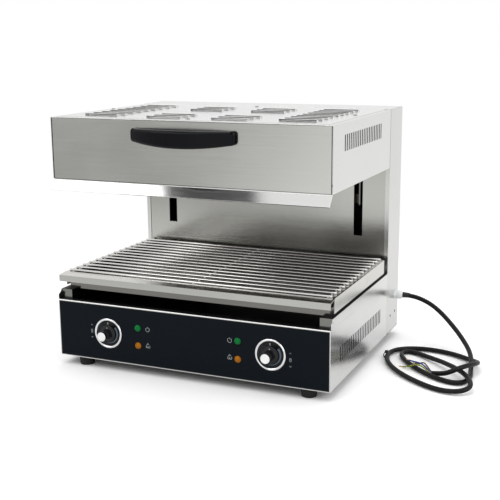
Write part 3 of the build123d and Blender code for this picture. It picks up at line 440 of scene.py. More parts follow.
# a dark copy of the steel: painted shade on the rails' front faces and the brackets and arms inside
railShaded = brushedSteel("railShaded", "y", (0.22, 0.22, 0.21), (0.14, 0.22))
# heat tint and stains on the reflector pan and element brackets, darkened further as painted shade inside the
# hood
heatTintAndShade = brushedSteel("heatTintAndShade", "x", (0.24, 0.22, 0.2), (0.25, 0.38), 0.05,
                           dark=(0.17, 0.155, 0.135), stain=(0.14, 0.1, 0.07))
# a near-black copy of the steel: painted shade for hidden inner faces, vent walls, the shadow strips and the
# bottom plate
paintedShadeSheet = brushedSteel("paintedShadeSheet", "x", (0.045, 0.045, 0.045), (0.5, 0.6), 0.04, fall=0.015)
gridWire = polishedMetal("gridWire", (0.78, 0.77, 0.75), 0.1)
rodSteel = polishedMetal("rodSteel", (0.75, 0.75, 0.76), 0.1)
screwSteel = polishedMetal("screwSteel", (0.3, 0.3, 0.29), 0.26, 0.12)
chromeRing = polishedMetal("chromeRing", (0.86, 0.86, 0.87), 0.07, 0.05)
spunAluminium = polishedMetal("spunAluminium", (0.97, 0.97, 0.97), 0.42, 0.1, 0.1)
spunAluminium.node_tree.nodes["Principled BSDF"].inputs["Metallic"].default_value = 0.35
bronze = polishedMetal("bronze", (0.1, 0.085, 0.065), 0.35)
ropeWire = polishedMetal("ropeWire", (0.5, 0.5, 0.5), 0.3)
coreCopper = polishedMetal("coreCopper", (0.8, 0.42, 0.24), 0.25)
panelFilm = mouldedPlastic("panelFilm", (0.0032, 0.0062, 0.0098), 0.3, 1500.0, 0.02, 0.08, 0.85)
dialFace = mouldedPlastic("dialFace", (0.004, 0.005, 0.006), 0.18, 1200.0, 0.02, 0.2)
knobBlack = mouldedPlastic("knobBlack", (0.006, 0.006, 0.007), 0.2, 900.0, 0.04, 0.35)
handleBlack = mouldedPlastic("handleBlack", (0.0035, 0.004, 0.0055), 0.3, 1100.0, 0.06, 0.13)
footRubber = mouldedPlastic("footRubber", (0.012, 0.012, 0.012), 0.65, 700.0, 0.25, 0.3)
cordRubber = mouldedPlastic("cordRubber", (0.006, 0.006, 0.0065), 0.42, 800.0, 0.14, 0.18)
strapBlack = mouldedPlastic("strapBlack", (0.008, 0.008, 0.008), 0.4, 900.0, 0.1)
glandGrey = mouldedPlastic("glandGrey", (0.84, 0.86, 0.86), 0.45, 900.0, 0.06, 0.4, 0.92)
regulatorBlack = mouldedPlastic("regulatorBlack", (0.03, 0.03, 0.03), 0.5)
nylonWhite = mouldedPlastic("nylonWhite", (0.78, 0.76, 0.68), 0.45, 500.0, 0.05, 0.4, 0.93)
ceramicWhite = mouldedPlastic("ceramicWhite", (0.8, 0.78, 0.73), 0.35, 300.0, 0.05, 0.5, 0.94)
coreBrown = mouldedPlastic("coreBrown", (0.2, 0.06, 0.025), 0.4)
coreBlue = mouldedPlastic("coreBlue", (0.03, 0.1, 0.35), 0.4)
greenLens = lampLens("greenLens", (0.0, 0.2, 0.04), (0.0, 0.11, 0.02))
amberLens = lampLens("amberLens", (0.44, 0.155, 0.003), (0.27, 0.09, 0.002))
whitePrint = enamelPrint("whitePrint", (0.6, 0.62, 0.64))
greyPrint = enamelPrint("greyPrint", (0.11, 0.145, 0.19))
ironCasting = castIron("ironCasting")
whiteFibre = fibreMat("whiteFibre")
darkSheath = elementSheath("darkSheath")
earthGreen = earthCore("earthGreen")
print("finishes made")


# mains lead: the route's points in millimetres, then the loops on the floor by quarter turns

cordFacts = {
    "diameter": 10.0, "length": 1.635, "exit": (0.312, 0.226, 0.099),
    "route": [(312, 226, 99), (337, 226, 99), (364, 222.5, 94), (390, 214, 85), (414, 202, 72),
              (438, 184, 57), (461, 162, 42.5), (481, 136, 30), (496, 107, 22.5), (505, 78, 17),
              (510, 51, 9.8)],
    "middle": (437, 28), "lean": -43, "rest": 5.8, "start": 0.55, "end": 9.75, "points": 32, "landing": 20,
    "nudge": 0.001,
    "reach": [60, 98, 40, 113, 42, 146, 80, 131, 98, 74, 22],
    "shift": [0, 0, 6, 4, -14, -20, 0, 0, 0, 4, 0],
    "humps": [(4.45, 1.0, 11.4), (6.6, 0.8, 1.6), (8.85, 0.95, 22.6)],
}
coreFacts = {
    "diameter": 3.1, "apart": 3.3, "tipRadius": 1.0, "tipLength": 9, "tipMiddle": 4, "tipRound": 0.3,
    "steps": [(0, 0), (9, 0), (20, 0.1), (34, 0.35), (48, 0.7), (61, 0.9), (73, 1)],
    "fall": (0, 0, 6.5, 10.4, 6, -2.2, -3.8), "perch": (0, 0, 6.5, 10.4, 9.4, 7.4, 6.6),
    "lanes": [("coreBrown", -1, -16, "fall", coreBrown), ("coreBlue", 0, -2, "perch", coreBlue),
              ("coreEarth", 1, 13, "fall", earthGreen)],
}


def loopPoint(turn):
    # a point of the loops: each quarter turn eases from one reach and sideways shift to the next
    quarter = min(int(math.floor(turn)), len(cordFacts["reach"]) - 2)
    part = turn - quarter
    ease = (1 - math.cos(math.pi * part)) / 2
    reach, shift = cordFacts["reach"], cordFacts["shift"]
    sideways = shift[quarter] * (1 - ease) + shift[quarter + 1] * ease

    def heading(degrees):
        return Vector((math.cos(math.radians(degrees)), math.sin(math.radians(degrees)), 0))

    lean = cordFacts["lean"] + 90
    point = Vector((*cordFacts["middle"], cordFacts["rest"])) + heading(lean) * sideways
    point += heading(lean - 90 * quarter) * (reach[quarter] * math.cos(quarterTurn * part))
    point += heading(lean - 90 * (quarter + 1)) * (reach[quarter + 1] * math.sin(quarterTurn * part))
    for place, width, rise in cordFacts["humps"]:
        if abs(turn - place) < width:
            point.z += rise * (1 + math.cos(math.pi * (turn - place) / width)) / 2
    return point


def flexLine(name, points, diameter, material):
    line = bpy.data.curves.new(name, "CURVE")
    line.dimensions = "3D"
    spline = line.splines.new("NURBS")
    spline.points.add(len(points) - 1)
    for knot, point in zip(spline.points, points):
        knot.co = (*metres(point), 1)
    spline.order_u = 3
    spline.use_endpoint_u = True
    spline.resolution_u = 8
    line.bevel_depth = diameter / 2 * mm
    line.bevel_resolution = 5
    line.use_fill_caps = True
    line.materials.append(material)
    piece = bpy.data.objects.new(name, line)
    bpy.context.scene.collection.objects.link(piece)
    return piece


def makeCord():
    first, last, count, nudge = (cordFacts[key] for key in ("start", "end", "points", "nudge"))
    loops = [loopPoint(first + (last - first) * i / count) for i in range(count + 1)]
    leave = loopPoint(first + nudge) - loopPoint(first - nudge)
    landing = loops[0] - Vector((leave.x, leave.y, 0)).normalized() * cordFacts["landing"]
    cord = flexLine("cordSheath", [*cordFacts["route"], landing, *loops], cordFacts["diameter"], cordRubber)
    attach(cord, "casing")
    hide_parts("power_cord", "cord_coil")

    arrive = loopPoint(last) - loopPoint(last - 2 * nudge)
    arrive = Vector((arrive.x, arrive.y, 0)).normalized()
    across = Vector((-arrive.y, arrive.x, 0))
    pieces = []
    for name, lane, fan, rises, material in coreFacts["lanes"]:
        root = loops[-1] + across * (coreFacts["apart"] * lane)
        points = [root + arrive * go + across * (fan * out) + Vector((0, 0, rise))
                  for (go, out), rise in zip(coreFacts["steps"], coreFacts[rises])]
        core = flexLine(name, points, coreFacts["diameter"], material)
        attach(core, "casing")
        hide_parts("cord_cores")
        clearSelection()
        bpy.ops.mesh.primitive_cylinder_add(vertices=16, radius=coreFacts["tipRadius"] * mm,
                                            depth=coreFacts["tipLength"] * mm,
                                            location=(0, 0, coreFacts["tipMiddle"] * mm))
        ferrule = bpy.context.object
        bpy.ops.object.transform_apply()
        ferrule.name = name + "Tip"
        moved(ferrule, points[-1], (points[-1] - points[-2]).to_track_quat("Z", "Y").to_euler())
        bevelled(ferrule, coreFacts["tipRound"])
        settle(ferrule, "casing", coreCopper)
        pieces += [core, ferrule]
    return cord, pieces


cordPiece, corePieces = makeCord()

glandFacts = {
    "place": (300, 226, 99), "collarSides": 6, "collarRound": 0.5, "nutSides": 60,
    "collar": [(8.0, 0.0), (11.0, 0.0), (11.0, 3.6), (10.6, 4.2), (9.4, 4.2), (9.4, 5.2)],
    "nut": [(9.3, 4.4), (9.75, 5.0), (9.75, 13.0), (9.3, 15.2), (8.4, 17.2), (7.0, 19.0), (5.9, 19.6),
            (5.3, 19.6), (5.3, 14.0)],
    "seal": [(5.15, 14.0), (6.8, 17.0), (6.4, 20.0), (5.9, 26.0), (5.45, 34.0), (5.15, 34.4), (5.1, 34.0),
             (5.1, 14.0)],
    "ribs": {"from": 5.2, "to": 12.8, "radius": 9, "pitch": 24, "inset": 0.25, "rise": 0.35},
}


def makeGland():
    # collar, ribbed dome nut and the dark rubber seal that grips the lead
    place, ribs = glandFacts["place"], glandFacts["ribs"]
    collar = turned("glandCollar", glandFacts["collar"], place, "X", glandFacts["collarSides"])
    bevelled(collar, glandFacts["collarRound"])
    nut = turned("glandNut", glandFacts["nut"], place, "X", glandFacts["nutSides"])
    openMesh(nut, "DESELECT")
    closeMesh()
    for face in nut.data.polygons:
        middle = face.center / mm - Vector(place)
        angle = math.degrees(math.atan2(middle.z, middle.y)) % ribs["pitch"]
        onDome = ribs["from"] < middle.x < ribs["to"] and math.hypot(middle.y, middle.z) > ribs["radius"]
        face.select = onDome and abs(face.normal.x) < 0.1 and angle < ribs["pitch"] / 2
    bpy.ops.object.mode_set(mode="EDIT")
    bpy.ops.mesh.inset(thickness=ribs["inset"] * mm, depth=ribs["rise"] * mm)
    closeMesh()
    settle(collar, "casing", glandGrey, ["cable_gland"])
    settle(nut, "casing", glandGrey)
    seal = turned("glandSeal", glandFacts["seal"], place, "X", closed=False)
    settle(seal, "casing", strapBlack)
    return [collar, nut, seal]


glandPieces = makeGland()
paint("gland_locknut", glandGrey)
paint("cord_tie", strapBlack)
print("mains lead made")


# steel sheets of the casing and the hood, with softened edges

anywhere = 1000.0   # farther out than any face
sameWay = 0.9       # how squarely a face has to look a way
skinWay = 0.95      # how squarely the side sheets' skin looks sideways
skinX = 298.0       # the side sheets' vents lie farther out than this
gap = 0.9           # the width of the painted shadow strip round the hood's front sheet
louvreLow = 521.25  # the louvres rise above this height
rimFront = -200.0   # the tray's rim lies in front of this
toward = {"right": (1, 0, 0), "left": (-1, 0, 0), "rear": (0, 1, 0), "front": (0, -1, 0), "top": (0, 0, 1),
          "bottom": (0, 0, -1)}
frontLow, frontHigh = (Vector(corner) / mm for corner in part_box("hood_front"))
# the hood front is cut along its bottom and sides so that these strips get painted shadow
frontBorder = [((0, 0, frontLow.z + gap), (0, 0, -1)), ((frontHigh.x - gap, 0, 0), (1, 0, 0)),
               ((frontLow.x + gap, 0, 0), (-1, 0, 0))]
frameLine = {"x": 298.4, "low": 21.6, "high": 138.9}   # outside it the fascia shows as a thin bright line
fasciaBorder = [((0, 0, frameLine["high"]), (0, 0, 1)), ((0, 0, frameLine["low"]), (0, 0, -1)),
                ((frameLine["x"], 0, 0), (1, 0, 0)), ((-frameLine["x"], 0, 0), (-1, 0, 0))]


# the louvres' upward faces, which get painted shade
def onLouvre(place, way):
    return place.z > louvreLow and way.z > 0.1


# faces that look to the front; on the rails these get painted shade
def toFront(place, way):
    return way.y < -0.5


# the tray's front faces, which get painted shade
def onRim(place, way):
    return toFront(place, way) and place.y < rimFront


sheets = {
    "hood_front": {"name": "hoodFrontSheet", "finish": hoodFrontShaded, "slot": "hood_steel", "width": 0.5,
                   "shadowSides": ["rear"], "border": frontBorder},
    "hood_shell": {"name": "hoodShellSheet", "finish": sheetAlong, "slot": "hood_steel", "width": 0.4,
                   "shadowSides": {"right": 290, "left": 290, "bottom": -420}, "vents": (464, 500)},
    "hood_top_cover": {"name": "hoodTopSheet", "finish": topSheet, "slot": "hood_steel", "limit": 8,
                       "shadowSides": ["bottom"], "shade": louvreShaded, "shaded": onLouvre},
    "hood_rear_panel": {"name": "hoodRearSheet", "finish": sheetAcross, "slot": "hood_steel",
                        "shadowSides": ["front"]},
    "hood_lip": {"name": "hoodLipSheet", "finish": mirrorSheet, "slot": "polished_steel"},
    # the bottom plate is painted shade, so the floor under the casing shows dark
    "bottom_plate": {"name": "bottomSheet", "finish": paintedShadeSheet},
    "control_fascia": {"name": "fasciaSheet", "finish": mirrorSheet, "border": fasciaBorder,
                       "film": frameLine, "shadowSides": ["rear", "bottom", "top"]},
    "base_deck": {"name": "deckSheet", "finish": deckShaded, "shadowSides": ["bottom"]},
    "column_top_cap": {"name": "columnCapSheet", "finish": topSheet, "shadowSides": ["bottom"]},
    "rear_cover": {"name": "rearCoverSheet", "finish": sheetAcross, "shadowSides": ["front"]},
    "lift_slot_panel": {"name": "liftSlotSheet", "finish": backShaded, "shadowSides": ["rear"]},
    # the tray's inside and its front faces are darker copies of its steel, painted shade
    "drip_tray": {"name": "dripTraySheet", "finish": traySheet, "slot": "tray_steel", "shadowFinish": trayInsideShaded,
                  "shadowSides": {"top": 194, "right": 0, "left": 0, "front": 218, "bottom": 0},
                  "shade": trayFrontShaded, "shaded": onRim},
}
for label, name, hidden in (("left", "LeftSheet", "right"), ("right", "RightSheet", "left")):
    sheets["base_side_" + label] = {"name": "baseSide" + name, "finish": sideSheet, "shadowSides": [hidden],
                                    "vents": (60, 98)}
    sheets["column_side_" + label] = {"name": "column" + name, "finish": sheetUp, "shadowSides": [hidden]}
    sheets["tray_rail_" + label] = {"name": "trayRail" + name, "finish": sideSheet, "width": 0.25,
                                    "shadowSides": [hidden, "top"], "shade": railShaded, "shaded": toFront}


def dressed(nodeName, name, finish, slot="casing_steel", width=0.3, limit=smoothAngle, border=(), **looks):
    # a merged copy of a sheet part with the small round edges of cut and folded steel
    source = nodes[nodeName]
    pick(source)
    bpy.ops.object.duplicate()
    piece = bpy.context.object
    piece.name = name
    piece.parent = None
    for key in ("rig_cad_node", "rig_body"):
        if key in piece:
            del piece[key]
    bpy.ops.mesh.customdata_custom_splitnormals_clear()
    openMesh(piece)
    bpy.ops.mesh.remove_doubles(threshold=0.00001)
    bpy.ops.mesh.dissolve_limited(angle_limit=math.radians(0.5))
    bpy.ops.mesh.normals_make_consistent(inside=False)
    closeMesh()
    for place in piece.material_slots:
        place.link = "DATA"
    for place, way in border:
        openMesh(piece)
        bpy.ops.mesh.bisect(plane_co=metres(place), plane_no=way)
        closeMesh()
    bevelled(piece, width, 2, limit)
    settle(piece, source["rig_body"], finish, [nodeName], angle=0)
    if "shadowSides" in looks:
        shadeFaces(piece, border, **looks)
    return piece


def shadeFaces(piece, border, shadowSides, vents=(0, 0), film=None, shadowFinish=paintedShadeSheet, shade=None, shaded=None):
    # hidden faces, vent walls and the shadow strips get a dark sheet as painted shade; the sides given name
    # the ways that hidden faces look, some only up to a limit, and faces that pass the shaded test get darker
    # painted shade
    limits = shadowSides if isinstance(shadowSides, dict) else dict.fromkeys(shadowSides, anywhere)
    piece.data.materials.append(shadowFinish)
    if shade:
        piece.data.materials.append(shade)
    for face in piece.data.polygons:
        place, way = face.center / mm, face.normal
        hidden = any(way.dot(Vector(toward[side])) > sameWay and place.dot(Vector(toward[side])) < limit
                     for side, limit in limits.items())
        inGap = any((place - Vector(at)).dot(Vector(out)) > 0 for at, out in border)
        if film:
            inGap = way.y < -sameWay and abs(place.x) < film["x"] and film["low"] < place.z < film["high"]
        inVent = abs(way.x) < skinWay and abs(place.x) > skinX and vents[0] < place.z < vents[1]
        if hidden or inGap or inVent:
            face.material_index = 1
        elif shaded and shaded(place, way):
            face.material_index = 2


for nodeName, facts in sheets.items():
    dressed(nodeName, **facts)
print("sheets dressed")

plainFinishes = [
    (heatTintAndShade, ["reflector_pan", "element_brackets"]), (darkSheath, ["heating_elements"]),
    (railShaded, ["rod_brackets", "pulley_brackets", "weight_guides", "lift_arm_left", "lift_arm_right"]),
    (rodSteel, ["guide_rods", "knob_spindle_left", "knob_spindle_right"]), (bronze, ["guide_bushes"]),
    (screwSteel, ["pulley_axles", "hood_bolts"]), (ropeWire, ["rope_bends"]), (nylonWhite, ["rope_pulleys"]),
    (whiteFibre, ["insulation_mat"]), (ironCasting, ["counterweight"]), (ceramicWhite, ["terminal_block"]),
    (regulatorBlack, ["energy_regulators"]), (panelFilm, ["control_overlay"]), (dialFace, ["dial_plates"]),
]
for material, names in plainFinishes:
    for nodeName in names:
        paint(nodeName, material)


# wire ropes: a straight run changes length with the hood, so one part rides along and one stays

ropeFacts = {"x": 178.0, "radius": 1.5, "inner": 1.4, "top": 488.0, "travel": 130.0, "sides": 20,
             "topGap": 0.5, "startGap": 0.3,
             "runs": [("hood_ropes", "hood", "hoodRopes"), ("weight_ropes", "counterweight", "weightRopes")]}


def ropePair(name, radius, y, start, end):
    pair = [turned("rope", [(radius, start), (radius, end)], (side * ropeFacts["x"], y, 0),
                   around=ropeFacts["sides"]) for side in (left, right)]
    return joined(pair, name)


def makeRopes():
    top, travel = ropeFacts["top"], ropeFacts["travel"]
    for nodeName, body, name in ropeFacts["runs"]:
        low, high = (Vector(corner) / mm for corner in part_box(nodeName))
        riding, hanging = (low.z, top), (top - travel, top - ropeFacts["topGap"])
        if body == "counterweight":
            riding, hanging = (low.z, low.z + travel), (low.z + travel + ropeFacts["startGap"], top)
        y = (low.y + high.y) / 2
        settle(ropePair(name, ropeFacts["radius"], y, *riding), body, ropeWire, [nodeName])
        settle(ropePair(name + "Upper", ropeFacts["inner"], y, *hanging), "casing", ropeWire)


makeRopes()
print("ropes made")


# handle: a bar spun to a bow and cut off flat where it meets the hood

handle = {"half": 113.0, "low": 469.0, "high": 503.5, "panel": -219.0, "front": -251.0, "thick": 14.0,
          "radius": 290.0, "sweep": 45.9, "steps": 40, "round": 6.3, "roundSteps": 5, "roundFrom": 30,
          "arch": 0.27}


def makeHandle():
    centre = (0, (handle["front"] + handle["radius"]) * mm, 0)
    halfSweep = math.radians(handle["sweep"] / 2)
    back = handle["front"] + handle["thick"]
    bar = box("handleGrip", (-1, handle["front"], handle["low"]), (1, back, handle["high"]))
    openMesh(bar, "DESELECT")
    bpy.ops.mesh.select_mode(type="FACE")
    closeMesh()
    for face in bar.data.polygons:
        face.select = face.normal.x < 0.9   # only the end face is kept
    bpy.ops.object.mode_set(mode="EDIT")
    bpy.ops.mesh.delete(type="FACE")
    bpy.ops.mesh.select_all(action="SELECT")
    bpy.ops.transform.translate(value=(-1 * mm, 0, 0))
    bpy.ops.transform.rotate(value=halfSweep, orient_axis="Z", center_override=centre)
    bpy.ops.mesh.spin(steps=handle["steps"], angle=-2 * halfSweep, center=centre, axis=(0, 0, 1))
    closeMesh()
    openMesh(bar, "DESELECT")
    bpy.ops.mesh.select_mode(type="VERT")
    bpy.ops.mesh.select_non_manifold(extend=False)
    bpy.ops.mesh.edge_face_add()   # closes the open end; the other still has its starting face
    mend(0.00001)
    bpy.ops.mesh.bisect(plane_co=(0, handle["panel"] * mm, 0), plane_no=(0, 1, 0), use_fill=True,
                        clear_outer=True)
    mend(0.0005)
    closeMesh()
    for point in bar.data.vertices:   # the underside rises towards both ends
        below = handle["high"] * mm - point.co.z
        point.co.z += below * handle["arch"] * (point.co.x / (handle["half"] * mm)) ** 2
    bevelled(bar, handle["round"], handle["roundSteps"], handle["roundFrom"], clamp=False)
    return settle(bar, "hood", handleBlack, ["hood_handle"])


makeHandle()
print("handle made")


# control knobs, dials and pilot lamps; profiles are (radius, distance to the front)

dial = {"x": 180.0, "z": 81.0, "plate": -225.8, "panel": -224.6}
knobFacts = {
    "body": [(16.4, 226.2), (17.0, 226.6), (17.0, 228.1), (16.5, 228.6), (11.8, 228.8), (10.9, 229.5),
             (10.55, 231.2), (10.25, 252.4), (10.0, 253.3), (9.75, 253.6), (9.55, 253.3), (9.5, 251.6),
             (1.0, 251.6)],
    "cap": [(9.45, 251.7), (9.45, 253.5), (9.1, 253.9), (8.7, 254.0), (7.2, 254.0), (7.05, 253.88),
            (6.9, 254.0), (5.4, 254.0), (5.25, 253.88), (5.1, 254.0), (3.6, 254.0), (3.45, 253.88),
            (3.3, 254.0), (0.5, 254.0)],
    "pointer": {"half": 1.5, "near": 9.6, "far": 16.2, "front": 230.9, "back": 228.3, "round": 0.6,
                "roundSteps": 3},
    "dot": [(1.15, 230.85), (1.15, 231.0), (0.3, 231.04)], "dotRise": 12.5, "capSmooth": 25, "sides": 96,
    "dotSides": 24,
}
bezelFacts = [(26.5, 224.7), (32.0, 224.7), (32.0, 226.4), (31.5, 227.7), (30.4, 228.45), (29.2, 228.6),
              (28.0, 228.2), (27.0, 227.3), (26.5, 226.2), (26.5, 224.7)]
lampFacts = {
    "x": 111.0, "places": [("green", 99.5, greenLens), ("amber", 62.5, amberLens)], "smooth": 60,
    "lens": [(6.85, 224.7), (6.85, 225.3), (6.7, 225.6), (6.4, 226.4), (5.5, 227.1), (4.0, 227.5),
             (2.0, 227.7), (0.4, 227.7)],
}


def makeKnob(side, label):
    x, z, body = side * dial["x"], dial["z"], "knob_" + label.lower()
    grip = turned("knobBody" + label, knobFacts["body"], (x, 0, z), "-Y", knobFacts["sides"])
    facts = knobFacts["pointer"]
    pointer = box("knobPointer" + label, (x - facts["half"], -facts["front"], z + facts["near"]),
                  (x + facts["half"], -facts["back"], z + facts["far"]))
    bevelled(pointer, facts["round"], facts["roundSteps"])
    settle(joined([grip, pointer], "knobGrip" + label), body, knobBlack, [body])
    dot = turned("knobDot" + label, knobFacts["dot"], (x, 0, z + knobFacts["dotRise"]), "-Y",
                 knobFacts["dotSides"])
    settle(dot, body, whitePrint)
    cap = turned("knobDisc" + label, knobFacts["cap"], (x, 0, z), "-Y", knobFacts["sides"])
    settle(cap, body, spunAluminium, ["knob_cap_" + label.lower()], knobFacts["capSmooth"])


makeKnob(left, "Left")
makeKnob(right, "Right")
bezels = [turned("bezel", bezelFacts, (side * dial["x"], 0, dial["z"]), "-Y", knobFacts["sides"], False)
          for side in (left, right)]
settle(joined(bezels, "dialRings"), "casing", chromeRing, ["dial_bezels"])
for colour, z, lens in lampFacts["places"]:
    pair = [turned("lens", lampFacts["lens"], (side * lampFacts["x"], 0, z), "-Y") for side in (left, right)]
    settle(joined(pair, colour + "Lenses"), "casing", lens, [colour + "_lamps"],
           lampFacts["smooth"])
print("knobs, rings and lamps made")


# printing on the panel and the dials: every stroke is (name, points, ink width)

def around(x, z, radius, start, end, steps, tall=1.0):
    # points on an arc, angles clockwise from the top
    angles = [math.radians(start + (end - start) * i / steps) for i in range(steps + 1)]
    return [(x + radius * math.sin(angle), z + radius * tall * math.cos(angle)) for angle in angles]


inkFacts = {"thin": 0.03, "half": 0.5}
dialPrint = {
    "heat": {"radius": 20.6, "from": 50, "to": 192, "steps": 48, "wide": 5.6, "narrow": 0.9, "fade": 0.8},
    "rings": [("outerArc", around(0, 0, 24.6, 200, 318, 40), 0.35),
              ("innerArc", around(0, 0, 20.2, 214, 322, 40), 0.3)],
    "zero": ("zeroMark", around(-1, 20.6, 1.35, 0, 360, 20, 1.5), 0.65),
    "ticks": [("tick", [around(0, 0, radius, degrees, degrees, 1)[0] for radius in (23.9, 25.2)], 0.5)
              for degrees in (50, 85, 120, 155, 190)],
}
symbols = {
    "zone": {   # which part of the grill the knob heats
        "places": {left: (-220.3, 81.3), right: (220.3, 75.0)},
        "strokes": [("zoneUp", [(-2.2, 12.2), (0, 14.2), (2.2, 12.2)], 0.55),
                    ("zoneDown", [(-2.2, -12.2), (0, -14.2), (2.2, -12.2)], 0.55),
                    *[("zoneSide", [(edge, -3.4), (edge, 3.4)], 0.4) for edge in (-1.7, 1.7)],
                    *[("zoneBar", [(-1.7, step), (1.7, step)], 0.5) for step in (-3.4, -1.1, 1.1, 3.4)]],
    },
    "power": {
        "places": {left: (-88.4, 98.8), right: (93.6, 98.8)},
        "strokes": [("powerRing", around(0, 0, 4.3, 32, 328, 32), 0.7),
                    ("powerBar", [(0, 2.4), (0, 5.8)], 0.6)],
    },
    "heat": {
        "places": {left: (-88.4, 64.8), right: (93.6, 64.8)},
        "strokes": [("heatArrow", [(-2.4, 2.6), (0, 5.6), (2.4, 2.6), (-2.4, 2.6)], 0.7),
                    ("heatWave", around(-2.3, -1.9, 2.1, -20, -290, 18, 1.25), 0.8),
                    ("heatWave", around(2.3, -1.9, 2.1, 20, 290, 18, 1.25), 0.8)],
    },
}


def inkLine(place, depth, stroke):
    # a printed stroke: a round line along the points, pressed flat
    name, points, widths = stroke
    line = bpy.data.curves.new(name, "CURVE")
    line.dimensions = "3D"
    spline = line.splines.new("POLY")
    spline.points.add(len(points) - 1)
    for i, (knot, (x, z)) in enumerate(zip(spline.points, points)):
        knot.co = ((place[0] + x) * mm, depth * mm, (place[1] + z) * mm, 1)
        knot.radius = widths if isinstance(widths, float) else widths[i]
    line.bevel_depth = inkFacts["half"] * mm
    line.bevel_resolution = 1
    line.use_fill_caps = True
    piece = bpy.data.objects.new(name, line)
    bpy.context.scene.collection.objects.link(piece)
    pick(piece)
    bpy.ops.object.convert(target="MESH")
    piece = bpy.context.object
    openMesh(piece)
    bpy.ops.transform.resize(value=(1, inkFacts["thin"], 1), center_override=(0, depth * mm, 0))
    closeMesh()
    return piece


heat = dialPrint["heat"]
heatWidths = [heat["wide"] + (heat["narrow"] - heat["wide"]) * (i / heat["steps"]) ** heat["fade"]
              for i in range(heat["steps"] + 1)]
heatArc = ("heatArc", around(0, 0, heat["radius"], heat["from"], heat["to"], heat["steps"]), heatWidths)
whiteStrokes, greyStrokes = [], []
for side in (left, right):
    place = (side * dial["x"], dial["z"])
    greyStrokes += [inkLine(place, dial["plate"], stroke)
                    for stroke in (heatArc, *dialPrint["rings"], *dialPrint["ticks"])]
    whiteStrokes.append(inkLine(place, dial["plate"], dialPrint["zero"]))
    for symbol in symbols.values():
        place = symbol["places"][side]
        whiteStrokes += [inkLine(place, dial["panel"], stroke) for stroke in symbol["strokes"]]
settle(joined(whiteStrokes, "panelMarks"), "casing", whitePrint)
settle(joined(greyStrokes, "dialMarks"), "casing", greyPrint)
print("panel and dials printed")


# screws: pan heads with a cross recess; the profile and the slots are shares of the head's size

screwFacts = {
    "profile": [(1.0, 0.0), (1.0, 0.3), (0.93, 0.62), (0.74, 0.86), (0.42, 0.98), (0.12, 1.0)],
    "slotWide": 0.2, "slotLong": 0.58, "slotDeep": 0.45, "radius": 4.0, "height": 2.0, "sides": 32,
    "firstTurn": 20, "coverTurn": 35, "rearTurn": 13, "sideTurn": 40,
    "cover": [(276, -17, 521), (-276, -17, 521), (0, -197, 521), (0, 136.5, 521)],
    "rearX": 292, "rearY": 252, "rearZ": (50, 190, 350, 500),
    "sideX": 300, "side": [(191.6, 56.7), (228, 58.5)], "sideRadius": 3.2, "sideHeight": 0.6,
}


def screwHead(name, centre, axis, turn, radius=screwFacts["radius"], height=screwFacts["height"]):
    head = turned(name, [(r * radius, h * height) for r, h in screwFacts["profile"]], (0, 0, 0),
                  around=screwFacts["sides"])
    long, wide, deep = (screwFacts[key] * radius for key in ("slotLong", "slotWide", "slotDeep"))
    for first, second in ((long, wide), (wide, long)):
        carved(head, box("recess", (-first, -second, height - deep), (first, second, height + 1)))
    moved(head, (0, 0, 0), (0, 0, math.radians(turn)))
    return moved(head, centre, turns[axis])


heads = [screwHead("coverScrew", centre, "Z", screwFacts["firstTurn"] + screwFacts["coverTurn"] * i)
         for i, centre in enumerate(screwFacts["cover"])]
settle(joined(heads, "coverScrewHeads"), "hood", screwSteel, ["cover_screws"])
heads = [screwHead("rearScrew", (side * screwFacts["rearX"], screwFacts["rearY"], z), "Y",
                   screwFacts["rearTurn"] * i)
         for side in (left, right) for i, z in enumerate(screwFacts["rearZ"])]
heads += [screwHead("sideScrew", (side * screwFacts["sideX"], y, z), "X" if side == right else "-X",
                    screwFacts["sideTurn"] * i, screwFacts["sideRadius"], screwFacts["sideHeight"])
          for side in (left, right) for i, (y, z) in enumerate(screwFacts["side"])]
settle(joined(heads, "casingScrewHeads"), "casing", screwSteel, ["casing_screws"])
print("screws made")


# feet and wire grid

footFacts = {"x": 250, "y": (-202, 222), "sides": 64,
             "profile": [(16.5, 20.0), (16.5, 18.6), (16.2, 17.8), (15.4, 4.0), (15.2, 2.0), (14.6, 0.7),
                         (13.4, 0.0), (7.0, 0.0), (6.6, 0.6), (6.4, 5.0), (1.0, 5.2)]}
feet = [turned("foot", footFacts["profile"], (side * footFacts["x"], y, 0), "Z", footFacts["sides"])
        for side in (left, right) for y in footFacts["y"]]
settle(joined(feet, "rubberFeet"), "casing", footRubber, ["feet"])

gridFacts = {"rods": 14, "first": -190.0, "pitch": 25.0, "height": 198.0, "half": 291.0, "radius": 2.5,
             "runners": (-282.5, 0.0, 282.5), "runnerHeight": 193.5, "runnerRadius": 2.0,
             "from": -192.5, "to": 137.5, "bead": (2.3, 2.6, 1.1), "beadHeight": 195.5,
             "tip": 0.35, "ends": [(0.55, 0.0), (0.88, 0.35), (1.0, 1.0)], "sides": 24}


def roundRod(name, radius, low, high, centre, axis):
    # both ends are rounded in steps of (share of the radius, share of the tip's length)
    tip, ends = radius * gridFacts["tip"], gridFacts["ends"]
    profile = [(radius * wide, low + tip * far) for wide, far in ends]
    profile += [(radius * wide, high - tip * far) for wide, far in reversed(ends)]
    return turned(name, profile, centre, axis, gridFacts["sides"])


